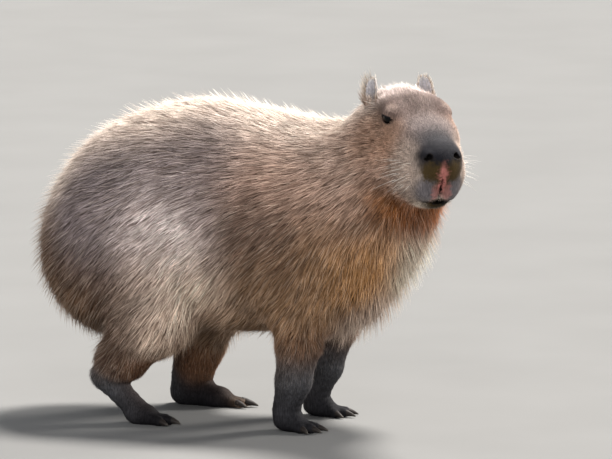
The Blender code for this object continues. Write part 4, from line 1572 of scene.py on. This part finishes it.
@dataclass
class Ears:
    """Two cupped ears with a rolled rim, and the hair round their edge."""

    head: Head
    rng: np.random.Generator
    base: Triple = (0.0500, -0.074, 0.012)
    length: float = 0.044
    half_width: float = 0.0158
    root: float = -0.40
    widest: float = 0.35
    cup: float = 0.008
    thickness: float = 0.0034
    spread: float = -3.0
    turns: tuple[float, float] = (6.0, 70.0)
    fringe_growth: tuple[float, float] = (1.2, 3.0)
    lean: float = 14.0
    rows: int = 26
    columns: int = 19
    down: int = 900
    fringe: int = 420
    hair_radius: float = 0.00026
    narrowest: float = 0.22
    least_rim: float = 0.05
    tip_rounding: float = 6.0
    rib_height: float = 0.00035
    ribs: float = 9.0
    fringe_heights: tuple[float, float] = (-0.25, 0.97)
    down_heights: tuple[float, float] = (-0.30, 0.93)
    fringe_lengths: tuple[float, float] = (0.004, 0.008)
    down_lengths: tuple[float, float] = (0.003, 0.005)
    root_heights: tuple[float, float] = (-0.1, 0.35)
    root_growth: float = 0.004
    root_warmth: float = 0.8
    front_share: float = 0.3
    hair_sink: float = 0.42
    # Most ear hair is cream and all of it is brightened: painted rim light of the backlit fringe.
    pale_share: float = 0.90
    rim_light_gain: float = 1.35
    fringe_lifts: tuple[float, float] = (0.1, 0.6)
    down_lifts: tuple[float, float] = (0.05, 0.25)
    fringe_across: tuple[float, float] = (0.9, 1.0)
    down_across: tuple[float, float] = (-0.95, 0.95)
    upright: float = 0.9
    fringe_splay: float = 0.9
    down_splay: float = 0.15
    away: float = 0.3
    rim_facing: float = 0.6
    down_width: float = 1.2
    fringe_stiffness: float = 0.6
    slope_step: float = 0.001
    map_scale: tuple[float, float] = (0.485, 0.74)
    map_edge: float = 0.01
    root_sink: float = 0.0004
    clump_pull: float = 0.2
    per_clump: int = 5

    def leaf(self, height: np.ndarray, across: np.ndarray) -> np.ndarray:
        """The ear's middle sheet, in its own axes.

        Args:
            height: Share of the way to the tip.
            across: Share of the half width, from -1 to 1.

        Returns:
            Rows of points.
        """
        swell = np.maximum(height - self.widest, 0.0) / (1.0 - self.widest)
        width = self.half_width * np.maximum(np.sqrt(np.maximum(1.0 - swell**2, 0.0)), self.narrowest)
        curl = self.cup * across**2 * (width / self.half_width)
        return np.stack([width * across, curl, self.length * height], axis=-1)

    def placed(self, spots: np.ndarray, sign: float) -> np.ndarray:
        """Points of the ear's own axes, set on the head and in the scene.

        Args:
            spots: Rows of points in the ear's own axes.
            sign: 1 for the left ear, -1 for the right.

        Returns:
            Rows of points in the scene.
        """
        outward_turn = self.turns[0] if sign > 0.0 else self.turns[1]
        turns = ((self.spread, "Y"), (self.lean, "X"), (-outward_turn, "Z"))
        placing = np.eye(3)
        for angle, axis in turns:
            placing = placing @ np.array(Matrix.Rotation(math.radians(angle), 3, axis))
        turned = spots @ placing.T + np.array(self.base)
        return self.head.world(turned * np.array([sign, 1.0, 1.0]))

    def shell(self) -> tuple[np.ndarray, np.ndarray]:
        """The closed ear in its own axes.

        Returns:
            Vertices, and three vertex numbers for each triangle.
        """
        rise = np.sin(0.5 * math.pi * np.linspace(0.0, 1.0, self.rows))
        height = np.repeat(self.root + (1.0 - self.root) * rise, self.columns).reshape(self.rows, -1)
        across = np.tile(np.linspace(-1.0, 1.0, self.columns), (self.rows, 1))
        sheet = self.leaf(height, across)
        down, over = np.gradient(sheet, axis=0), np.gradient(sheet, axis=1)
        normal = unit(np.cross(over, down))
        rim = np.sqrt(np.maximum(1.0 - np.abs(across) ** 4, self.least_rim))
        rim *= np.sqrt(np.clip((1.0 - height) * self.tip_rounding, self.least_rim, 1.0))
        ribs = self.rib_height * np.sin(across * self.ribs) * (1.0 - across**2)
        front = sheet - normal * (self.thickness / 2.0 * rim + ribs)[..., None]
        back = sheet + normal * (self.thickness / 2.0 * rim)[..., None]
        spots = np.concatenate([front.reshape(-1, 3), back.reshape(-1, 3)])
        index = np.arange(self.rows * self.columns).reshape(self.rows, self.columns)
        low, low_next = index[:-1, :-1], index[:-1, 1:]
        high, high_next = index[1:, :-1], index[1:, 1:]
        halves = [low, low_next, high_next, low, high_next, high]
        faces = np.stack(halves, axis=-1).reshape(-1, 3)
        ring = np.concatenate([index[0], index[1:, -1], index[-1, -2::-1], index[-2:0:-1, 0]])
        after = np.roll(ring, -1)
        size = self.rows * self.columns
        sides = np.concatenate(
            [np.stack([ring, ring + size, after + size], 1), np.stack([ring, after + size, after], 1)]
        )
        return spots, np.concatenate([faces, faces[:, ::-1] + size, sides])

    def hair(self, sign: float) -> Roots:
        """Roots of the hair round the rim and over the back of the ear.

        Args:
            sign: 1 for the left ear, -1 for the right.

        Returns:
            The roots of one ear's hair.
        """
        count = self.fringe + self.down
        edge = np.arange(count) < self.fringe

        def either(fringe: tuple[float, float], down: tuple[float, float]) -> np.ndarray:
            """Random numbers, from one range on the rim and from the other off it."""
            return np.where(edge, self.rng.uniform(*fringe, count), self.rng.uniform(*down, count))

        height = either(self.fringe_heights, self.down_heights)
        end = np.where(self.rng.uniform(size=count) < 0.5, -1.0, 1.0)
        across = np.where(edge, end, 1.0) * either(self.fringe_across, self.down_across)
        step = self.slope_step
        spots = self.leaf(height, across)
        over = unit(self.leaf(height, across + step) - spots)
        rise = unit(self.leaf(height + step, across) - spots)
        back = unit(np.cross(over, rise)) * -1.0
        face = np.where(self.rng.uniform(size=count) < self.front_share, -1.0, 1.0)[:, None]
        low = (1.0 - smooth(height, *self.root_heights))[:, None]
        spots = spots + back * face * self.thickness * self.hair_sink
        sideways = over * np.sign(across)[:, None]
        splay = np.where(edge, self.fringe_splay, self.down_splay)[:, None]
        way = unit(rise * self.upright + sideways * splay + back * face * self.away)
        over_rim = sideways * self.rim_facing + back * face * self.rim_facing
        outwards = unit(np.where(edge[:, None], over_rim, back * face))
        length = either(self.fringe_lengths, self.down_lengths)
        growth = self.fringe_growth[0] if sign > 0.0 else self.fringe_growth[1]
        length = length * np.where(edge & (across > 0.0), growth, 1.0)
        length = length + low[:, 0] * self.root_growth
        # Painted rim light: cream hairs, brightened throughout, stand for the white halo of the backlit
        # ear's fringe.
        pale = (self.rng.uniform(size=count) < self.pale_share)[:, None]
        tone = np.where(pale, Tone.CREAM.value, Tone.DUN.value) * self.rim_light_gain
        tone = tone + (np.array(Tone.BUFF.value) - tone) * low * self.root_warmth
        world = self.placed(spots, sign)
        turned = self.placed(spots + way * step, sign) - world
        facing = unit(self.placed(spots + outwards * step, sign) - world)
        turned = unit(turned - facing * (turned * facing).sum(axis=1, keepdims=True))
        lift = either(self.fringe_lifts, self.down_lifts)
        width = self.hair_radius * np.where(edge, 1.0, self.down_width) * (1.0 + low[:, 0])
        rows = np.stack([across + 1.0, height - self.down_heights[0]], axis=1)
        self.fringe_uv = rows * np.array(self.map_scale) + self.map_edge
        stiffness = np.where(edge, self.fringe_stiffness, 0.0)
        return Roots(world, facing, turned, length, lift, width, tone, stiffness)

    def build(self) -> None:
        """Makes both ears and their hair."""
        material, hair = EarFinish().material(), CoatFinish().material()
        maker = TuftMaker(self.rng, sink=self.root_sink)
        for side, sign in SIDES.items():
            spots, faces = self.shell()
            mesh = mesh_from("ear_skin_" + side, self.placed(spots, sign), faces.ravel())
            outward(mesh)
            height = spots[:, 2] / self.length
            add_number(mesh, "rise", height)
            add_number(mesh, "rim", np.abs(spots[:, 0]) / self.half_width)
            piece("ear_skin_" + side, mesh, material, "ear_skin", "ear_" + side)
            roots = self.hair(sign)
            pull = np.full(len(roots.places), self.clump_pull)
            lines, tones = maker.centre_lines(roots, pull, self.per_clump)
            name = "coat_ear_" + side
            piece(name, maker.mesh(name, roots, lines, tones, self.fringe_uv), hair, "coat")


@dataclass
class Claws:
    """Stout dark claws, one on each toe."""

    legs: dict[str, Leg]
    length: float = 0.024
    radius: float = 0.0062
    sink: float = 0.010
    droop: float = 0.35
    taper: float = 0.78
    curve: float = 1.6
    ridge: float = 0.10
    breadth: float = 1.08
    blunt: float = 0.7
    floor_gap: float = 0.0015
    raised: float = 0.001
    rings: int = 12
    sides: int = 14

    def claw(
        self, start: Triple, end: Triple, toe_radius: float
    ) -> tuple[np.ndarray, np.ndarray, np.ndarray]:
        """One claw.

        Args:
            start: Where its toe starts.
            end: Where its toe ends.
            toe_radius: The toe's radius at its end.

        Returns:
            Vertices, triangles, and how far along the claw each vertex is.
        """
        first, last = at(*start), at(*end)
        forward = unit(last - first)
        across = unit(np.cross(forward, np.array([0.0, 0.0, 1.0])))
        spots, along = [], []
        angles = np.linspace(0.0, math.tau, self.sides, endpoint=False)
        for share in np.linspace(0.0, 1.0, self.rings):
            reach = self.length * share - self.sink + toe_radius
            drop = self.droop * self.length * share * share * 0.5
            radius = self.radius * (1.0 - self.taper * share**self.curve)
            middle = last + forward * reach - np.array([0.0, 0.0, drop - self.raised])
            middle[2] = max(middle[2], radius + self.floor_gap)
            ridge = 1.0 + self.ridge * np.maximum(np.sin(angles), 0.0) ** 6
            upright = np.sin(angles) * radius * ridge
            ring = middle + np.outer(np.cos(angles) * radius * self.breadth, across)
            ring[:, 2] += upright
            spots.append(ring)
            along.append(np.full(self.sides, share))
        tip = spots[-1].mean(axis=0) + forward * radius * self.blunt
        spots.append(np.stack([spots[0].mean(axis=0), tip]))
        along.append(np.array([0.0, 1.0]))
        faces = tube_walls(self.rings, self.sides)
        base, tip = self.rings * self.sides, self.rings * self.sides + 1
        for side in range(self.sides):
            after = (side + 1) % self.sides
            last_ring = (self.rings - 1) * self.sides
            faces += [(base, after, side), (tip, last_ring + side, last_ring + after)]
        return np.concatenate(spots), np.array(faces), np.concatenate(along)

    def build(self) -> None:
        """Makes the claws of all four feet."""
        material = ClawFinish().material()
        for name, leg in self.legs.items():
            limb, side = name.split("_")
            for number, (start, end) in enumerate(leg.foot.toe_ends(), start=1):
                spots, faces, along = self.claw(start, end, leg.foot.toe_radii[1])
                label = f"{limb}_claw_{side}_{number}"
                mesh = mesh_from("horn_" + label, spots, faces.ravel())
                outward(mesh)
                add_number(mesh, "along", along)
                piece("horn_" + label, mesh, material, "claw_horn", label)


@dataclass
class Whiskers:
    """Long stiff hairs on both sides of the muzzle."""

    head: Head
    rng: np.random.Generator
    rows: int = 4
    per_row: int = 6
    pad: Triple = (0.049, 0.112, -0.060)
    row_drop: float = 0.0115
    step_back: float = 0.0080
    lengths: tuple[float, float] = (0.038, 0.062)
    radius: float = 0.00038
    taper: float = 0.85
    droop: Triple = (0.0, 0.15, 0.225)
    inset: float = 0.004
    first_way: Triple = (1.0, 0.40, 0.12)
    step_turn: float = 0.17
    row_turn: float = 0.15
    shake: float = 0.0014
    shake_turn: float = 60.0
    shortest: float = 0.7
    stations: int = 8
    sides: int = 5

    def whisker(self, start: np.ndarray, way: np.ndarray, length: float) -> tuple[np.ndarray, np.ndarray]:
        """One whisker in the head's axes.

        Args:
            start: Its root.
            way: The direction it leaves in.
            length: Its length.

        Returns:
            Vertices and triangles.
        """
        side = unit(np.cross(way, np.array([0.0, 0.0, 1.0])))
        up = np.cross(side, way)
        angles = np.linspace(0.0, math.tau, self.sides, endpoint=False)
        spots = []
        for share in np.linspace(0.0, 1.0, self.stations):
            middle = start + way * length * share - np.array(self.droop) * length * share**2
            radius = self.radius * (1.0 - self.taper * share)
            spots.append(middle + radius * (np.outer(np.cos(angles), side) + np.outer(np.sin(angles), up)))
        faces = tube_walls(self.stations, self.sides)
        last = (self.stations - 1) * self.sides
        for corner in range(1, self.sides - 1):
            faces += [(0, corner + 1, corner), (last, last + corner, last + corner + 1)]
        return np.concatenate(spots), np.array(faces)

    def build(self) -> None:
        """Makes the whiskers of both sides."""
        material = WhiskerFinish().material()
        for name, sign in SIDES.items():
            spots, faces, count = [], [], 0
            for row in range(self.rows):
                for step in range(self.per_row):
                    shake = self.rng.normal(0.0, self.shake, 3)
                    start = np.array(self.pad)
                    start -= np.array([self.inset, self.step_back * step, self.row_drop * row])
                    way = np.array(self.first_way)
                    way -= np.array([0.0, self.step_turn * step, self.row_turn * row])
                    way = unit(way + shake * self.shake_turn)
                    growth = self.shortest + (1.0 - self.shortest) * step / (self.per_row - 1)
                    length = self.rng.uniform(*self.lengths) * growth
                    hair, triangles = self.whisker(start + shake, way, length)
                    spots.append(hair)
                    faces.append(triangles + count)
                    count += len(hair)
            turned = self.head.world(np.concatenate(spots) * np.array([sign, 1.0, 1.0]))
            mesh = mesh_from("whiskers_" + name, turned, np.concatenate(faces).ravel())
            outward(mesh)
            piece("whiskers_" + name, mesh, material, "coat")


@dataclass
class Nodes:
    """A material in the making: adds nodes and wires them."""

    name: str
    relief: float = 0.7
    material: bpy.types.Material = field(init=False)

    def __post_init__(self) -> None:
        """Starts an empty node tree with one shader."""
        self.material = bpy.data.materials.new(self.name)
        self.material.use_nodes = True
        self.tree = self.material.node_tree
        self.shader = self.tree.nodes["Principled BSDF"]

    def add(self, kind: str, **settings: object) -> bpy.types.Node:
        """A new node with its properties set.

        Args:
            kind: Name of the node's type.
            settings: Properties by name.

        Returns:
            The node.
        """
        node = self.tree.nodes.new("ShaderNode" + kind)
        for key, value in settings.items():
            setattr(node, key, value)
        return node

    def wire(self, source: bpy.types.NodeSocket, target: bpy.types.NodeSocket) -> None:
        """Joins two sockets."""
        self.tree.links.new(source, target)

    def attribute(self, name: str) -> bpy.types.Node:
        """Reads a value stored on the mesh."""
        return self.add("Attribute", attribute_name=name)

    def noise(
        self, scale: float, detail: float = 3.0, stretch: Triple = (1.0, 1.0, 1.0)
    ) -> bpy.types.NodeSocket:
        """Noise in the object's own coordinates, stretched along its axes.

        Args:
            scale: Cells in a metre.
            detail: Octaves.
            stretch: Scale of each axis.

        Returns:
            The noise's value socket.
        """
        place = self.add("TexCoord")
        mapping = self.add("Mapping")
        mapping.inputs["Scale"].default_value = stretch
        noise = self.add("TexNoise")
        noise.inputs["Scale"].default_value = scale
        noise.inputs["Detail"].default_value = detail
        self.wire(place.outputs["Object"], mapping.inputs["Vector"])
        self.wire(mapping.outputs["Vector"], noise.inputs["Vector"])
        return noise.outputs["Fac"]

    def ramp(self, source: bpy.types.NodeSocket, *stops: tuple[float, Triple]) -> bpy.types.NodeSocket:
        """Colours along a value.

        Args:
            source: The value.
            stops: Positions with linear colours.

        Returns:
            The colour socket.
        """
        ramp = self.add("ValToRGB")
        band = ramp.color_ramp.elements
        while len(band) < len(stops):
            band.new(0.5)
        for element, (position, colour) in zip(band, stops):
            element.position = position
            element.color = (*colour, 1.0)
        self.wire(source, ramp.inputs["Fac"])
        return ramp.outputs["Color"]

    def grey(self, source: bpy.types.NodeSocket, *stops: tuple[float, float]) -> bpy.types.NodeSocket:
        """Greys along a value."""
        return self.ramp(source, *((position, (value,) * 3) for position, value in stops))

    def rough(self, source: bpy.types.NodeSocket, *stops: tuple[float, float]) -> None:
        """Sets the shader's roughness along a value."""
        self.wire(self.grey(source, *stops), self.shader.inputs["Roughness"])

    def mix(
        self,
        kind: str,
        first: bpy.types.NodeSocket,
        second: bpy.types.NodeSocket,
        share: bpy.types.NodeSocket | float = 1.0,
    ) -> bpy.types.NodeSocket:
        """Mixes two colours.

        Args:
            kind: How they mix.
            first: The colour below.
            second: The colour laid on it.
            share: How much of it, as a number or a socket.

        Returns:
            The mixed colour.
        """
        node = self.add("Mix", data_type="RGBA", blend_type=kind)
        if isinstance(share, float):
            node.inputs["Factor"].default_value = share
        else:
            self.wire(share, node.inputs["Factor"])
        self.wire(first, node.inputs["A"])
        self.wire(second, node.inputs["B"])
        return node.outputs["Result"]

    def bump(self, height: bpy.types.NodeSocket, distance: float) -> None:
        """Adds relief to the shader.

        Args:
            height: The relief's height.
            distance: Depth that a height of one stands for, in metres.
        """
        node = self.add("Bump")
        node.inputs["Strength"].default_value = self.relief
        node.inputs["Distance"].default_value = distance
        if self.shader.inputs["Normal"].is_linked:
            self.wire(self.shader.inputs["Normal"].links[0].from_socket, node.inputs["Normal"])
        self.wire(height, node.inputs["Height"])
        self.wire(node.outputs["Normal"], self.shader.inputs["Normal"])

    def surface(
        self, colour: bpy.types.NodeSocket, specular: float, roughness: float | None = None
    ) -> bpy.types.Material:
        """Finishes the shader with a colour, specular level and roughness.

        Args:
            colour: The colour's socket.
            specular: Specular level.
            roughness: Roughness, or None where rough() has set it.

        Returns:
            The finished material.
        """
        self.wire(colour, self.shader.inputs["Base Color"])
        self.shader.inputs["Specular IOR Level"].default_value = specular
        if roughness is not None:
            self.shader.inputs["Roughness"].default_value = roughness
        return self.material


def once(name: str) -> bpy.types.Material | None:
    """The material of this name, if it has been made."""
    return bpy.data.materials.get(name)


@dataclass(frozen=True)
class CoatFinish:
    """Coarse hair: dark at the root, partly painted shade deep in the coat, and pale at the tip, partly
    painted glow of backlit tips; no two locks quite alike.
    """

    name: str = "coarse_hair"
    roughness: tuple[float, float] = (0.50, 0.72)
    specular: float = 0.16

    def material(self) -> bpy.types.Material:
        """The hair material.

        Returns:
            The material.
        """
        if once(self.name):
            return once(self.name)
        nodes = Nodes(self.name)
        marking_and_painted_light = nodes.attribute("marking_and_painted_light").outputs["Color"]
        along = nodes.attribute("along").outputs["Fac"]
        tone = nodes.attribute("tone").outputs["Fac"]
        # Painted light along each tuft: the dark root is partly painted shade and the bright tip partly
        # painted glow of backlit hair.
        rise = nodes.ramp(
            along,
            (0.0, (0.26, 0.22, 0.19)),
            (0.45, (0.72, 0.70, 0.68)),
            (0.8, (1.12, 1.12, 1.12)),
            (1.0, (1.6, 1.6, 1.6)),
        )
        vary = nodes.ramp(
            tone,
            (0.0, (0.30, 0.26, 0.24)),
            (0.28, (0.66, 0.62, 0.60)),
            (0.55, (1.0, 1.0, 1.0)),
            (0.80, (1.38, 1.37, 1.36)),
            (1.0, (1.90, 1.94, 2.0)),
        )
        mottle = nodes.grey(nodes.noise(26.0, 4.0), (0.3, 0.80), (0.7, 1.18))
        colour = nodes.mix("MULTIPLY", marking_and_painted_light, rise)
        colour = nodes.mix("MULTIPLY", colour, vary)
        colour = nodes.mix("MULTIPLY", colour, mottle)
        nodes.rough(nodes.noise(300.0), (0.3, self.roughness[0]), (0.7, self.roughness[1]))
        return nodes.surface(colour, self.specular)


@dataclass(frozen=True)
class HideFinish:
    """Skin: short hair in the relief where the coat is thin, pebbled where it is bare."""

    name: str = "hide"
    roughness: tuple[float, float] = (0.70, 0.58)
    specular: float = 0.06

    def material(self) -> bpy.types.Material:
        """The skin material.

        Returns:
            The material.
        """
        nodes = Nodes(self.name)
        marking_and_painted_light = nodes.attribute("marking_and_painted_light").outputs["Color"]
        bare = nodes.attribute("bare").outputs["Fac"]
        streaks = nodes.noise(420.0, 4.0, (1.0, 1.0, 0.16))
        fine = nodes.grey(streaks, (0.30, 0.45), (0.52, 0.95), (0.72, 1.45))
        pores = nodes.noise(900.0, 3.0)
        soft = nodes.grey(pores, (0.3, 0.78), (0.7, 1.22))
        blotch = nodes.grey(nodes.noise(38.0, 3.0), (0.3, 0.82), (0.7, 1.15))
        texture = nodes.mix("MIX", fine, soft, bare)
        colour = nodes.mix("MULTIPLY", marking_and_painted_light, texture)
        colour = nodes.mix("MULTIPLY", colour, blotch)
        nodes.rough(bare, (0.0, self.roughness[0]), (1.0, self.roughness[1]))
        nodes.bump(streaks, 0.0009)
        nodes.bump(nodes.noise(1300.0, 2.0), 0.0004)
        return nodes.surface(colour, self.specular)


@dataclass(frozen=True)
class EyeFinish:
    """A wet, near-black eye with a dark brown iris."""

    name: str = "wet_eye"
    roughness: tuple[float, float] = (0.05, 0.10)
    specular: float = 0.12

    def material(self) -> bpy.types.Material:
        """The eye material.

        Returns:
            The material.
        """
        nodes = Nodes(self.name)
        iris = nodes.attribute("iris").outputs["Fac"]
        rings = nodes.ramp(
            iris,
            (0.0, (0.0030, 0.0024, 0.0026)),
            (0.70, (0.0034, 0.0022, 0.0018)),
            (0.86, (0.0040, 0.0024, 0.0018)),
            (0.93, (0.0010, 0.0010, 0.0012)),
        )
        fibres = nodes.grey(nodes.noise(700.0, 4.0), (0.3, 0.7), (0.7, 1.3))
        colour = nodes.mix("MULTIPLY", rings, fibres)
        nodes.rough(nodes.noise(120.0), (0.3, self.roughness[0]), (0.7, self.roughness[1]))
        return nodes.surface(colour, self.specular)


@dataclass(frozen=True)
class EarFinish:
    """Thin grey skin with faint veins, paler towards the tip and the rim, partly painted rim light of the
    backlit ear.
    """

    name: str = "ear_hide"
    roughness: float = 0.60
    specular: float = 0.35

    def material(self) -> bpy.types.Material:
        """The ear material.

        Returns:
            The material.
        """
        nodes = Nodes(self.name)
        rise = nodes.attribute("rise").outputs["Fac"]
        # Paler towards the tip, partly painted rim light.
        skin = nodes.ramp(
            rise,
            (0.0, (0.20, 0.15, 0.12)),
            (0.30, (0.26, 0.24, 0.25)),
            (0.75, (0.40, 0.38, 0.40)),
            (1.0, (0.62, 0.60, 0.58)),
        )
        # Paler at the rim, partly painted rim light.
        edge = nodes.grey(nodes.attribute("rim").outputs["Fac"], (0.55, 0.85), (1.0, 1.35))
        veins = nodes.grey(nodes.noise(210.0, 4.0), (0.35, 0.72), (0.65, 1.20))
        colour = nodes.mix("MULTIPLY", skin, edge)
        colour = nodes.mix("MULTIPLY", colour, veins)
        nodes.bump(nodes.noise(650.0, 3.0), 0.0004)
        return nodes.surface(colour, self.specular, self.roughness)


@dataclass(frozen=True)
class ClawFinish:
    """Dark horn with fine lengthwise growth lines and a worn tip."""

    name: str = "dark_horn"
    roughness: float = 0.48
    specular: float = 0.10

    def material(self) -> bpy.types.Material:
        """The claw material.

        Returns:
            The material.
        """
        nodes = Nodes(self.name)
        along = nodes.attribute("along").outputs["Fac"]
        horn = nodes.ramp(
            along,
            (0.0, (0.014, 0.011, 0.010)),
            (0.7, (0.022, 0.018, 0.016)),
            (1.0, (0.048, 0.042, 0.036)),
        )
        lines = nodes.noise(500.0, 3.0, (1.0, 0.15, 1.0))
        colour = nodes.mix("MULTIPLY", horn, nodes.grey(lines, (0.3, 0.7), (0.7, 1.3)))
        nodes.bump(lines, 0.0003)
        return nodes.surface(colour, self.specular, self.roughness)


@dataclass(frozen=True)
class WhiskerFinish:
    """Pale, glassy whisker."""

    name: str = "whisker_hair"
    roughness: float = 0.40
    specular: float = 0.45

    def material(self) -> bpy.types.Material:
        """The whisker material.

        Returns:
            The material.
        """
        nodes = Nodes(self.name)
        shade = nodes.ramp(nodes.noise(60.0), (0.3, (0.50, 0.45, 0.38)), (0.7, (0.82, 0.78, 0.72)))
        return nodes.surface(shade, self.specular, self.roughness)


@dataclass(frozen=True)
class FloorFinish:
    """A plain pale floor with the faintest grain."""

    name: str = "pale_floor"
    roughness: float = 0.80
    specular: float = 0.04

    def material(self) -> bpy.types.Material:
        """The floor material.

        Returns:
            The material.
        """
        nodes = Nodes(self.name)
        grain = nodes.noise(3.0, 5.0)
        shade = nodes.ramp(grain, (0.3, (0.158, 0.158, 0.155)), (0.7, (0.168, 0.168, 0.165)))
        return nodes.surface(shade, self.specular, self.roughness)


@dataclass(frozen=True)
class Lamp:
    """A soft, far light.

    Its offset is to the camera's right, up, and towards the camera, its spread is how wide it
    looks from the animal, in degrees, and its strength is in watts on each square metre that
    faces it.
    """

    name: str
    offset: Triple
    spread: float
    strength: float
    colour: Triple = (1.0, 0.96, 0.91)


LAMPS = (
    Lamp("key", (1.2, 3.6, -1.1), 14.0, 8.7),
    Lamp("rim", (3.0, 1.4, -1.6), 14.0, 4.2),
    Lamp("fill", (-0.6, 1.0, 4.2), 60.0, 2.65, (1.0, 0.99, 0.97)),
)


@dataclass
class Studio:
    """Floor, lights and camera."""

    azimuth: float = -68.0
    elevation: float = 8.0
    distance: float = 12.0
    frame_width: float = 612.0
    frame_height: float = 459.0
    scale: float = 533.0
    origin: tuple[float, float] = (235.0, 418.0)
    sensor: float = 36.0
    floor_half: float = 40.0
    far: float = 100.0
    sky: Triple = (0.92, 0.95, 1.0)
    sky_strength: float = 0.59

    def axes(self) -> tuple[Vector, Vector, Vector]:
        """The camera's right, up and backward directions.

        Returns:
            Three unit vectors.
        """
        turn, rise = math.radians(self.azimuth), math.radians(self.elevation)
        back = Vector((math.sin(turn) * math.cos(rise), -math.cos(turn) * math.cos(rise), math.sin(rise)))
        aim = back.to_track_quat("Z", "Y")
        return aim @ Vector((1, 0, 0)), aim @ Vector((0, 1, 0)), back

    def camera(self) -> None:
        """Sets the camera at the photograph's angle and framing."""
        right, up, back = self.axes()
        data = bpy.data.cameras.new("camera")
        data.sensor_width = self.sensor
        data.lens = self.sensor * self.distance * self.scale / self.frame_width
        data.clip_end = self.far
        camera = bpy.data.objects.new("camera", data)
        bpy.context.scene.collection.objects.link(camera)
        aim = Vector((*BODY_SHIFT, 0.0))
        aim += right * ((self.frame_width / 2.0 - self.origin[0]) / self.scale)
        aim += up * ((self.origin[1] - self.frame_height / 2.0) / self.scale)
        camera.rotation_mode = "QUATERNION"
        camera.rotation_quaternion = back.to_track_quat("Z", "Y")
        camera.location = aim + back * self.distance
        bpy.context.scene.camera = camera

    def light(self, lamp: Lamp) -> None:
        """Sets a lamp in the scene.

        Args:
            lamp: The lamp.
        """
        right, _, back = self.axes()
        flat_back = Vector((back.x, back.y, 0.0)).normalized()
        spot = right * lamp.offset[0] + Vector((0, 0, lamp.offset[1])) + flat_back * lamp.offset[2]
        data = bpy.data.lights.new(lamp.name, "SUN")
        data.angle = math.radians(lamp.spread)
        data.energy = lamp.strength
        data.color = lamp.colour
        light = bpy.data.objects.new(lamp.name, data)
        light.location = spot
        light.rotation_mode = "QUATERNION"
        light.rotation_quaternion = spot.to_track_quat("Z", "Y")
        bpy.context.scene.collection.objects.link(light)

    def build(self) -> None:
        """Makes floor, world, lights and camera."""
        self.camera()
        for lamp in LAMPS:
            self.light(lamp)
        world = bpy.data.worlds.new("studio")
        world.use_nodes = True
        sky = world.node_tree.nodes["Background"]
        sky.inputs["Color"].default_value = (*self.sky, 1.0)
        sky.inputs["Strength"].default_value = self.sky_strength
        bpy.context.scene.world = world
        bpy.context.scene.view_settings.view_transform = "Standard"
        mesh = bpy.data.meshes.new("floor")
        half = self.floor_half
        corners = [(-half, -half, 0), (half, -half, 0), (half, half, 0), (-half, half, 0)]
        mesh.from_pydata(corners, [], [(0, 1, 2, 3)])
        mesh.materials.append(FloorFinish().material())
        floor = bpy.data.objects.new("floor", mesh)
        bpy.context.scene.collection.objects.link(floor)


def main() -> None:
    """Builds everything in order and reports each piece."""
    logging.basicConfig(level=logging.INFO, format="%(asctime)s %(message)s")
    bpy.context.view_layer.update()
    rng = np.random.default_rng(SEED)
    head, legs = Head(), four_legs()
    coat_map, markings_and_shade = CoatMap(head), MarkingsAndShade(head)
    Studio().build()
    skin = Skin(Torso(), head, legs, coat_map, markings_and_shade).build()
    Coat(skin, coat_map, markings_and_shade, head, legs, rng).build()
    Eyes(head).build()
    Ears(head, rng).build()
    Whiskers(head, rng).build()
    Claws(legs).build()


if __name__ == "__main__":
    main()
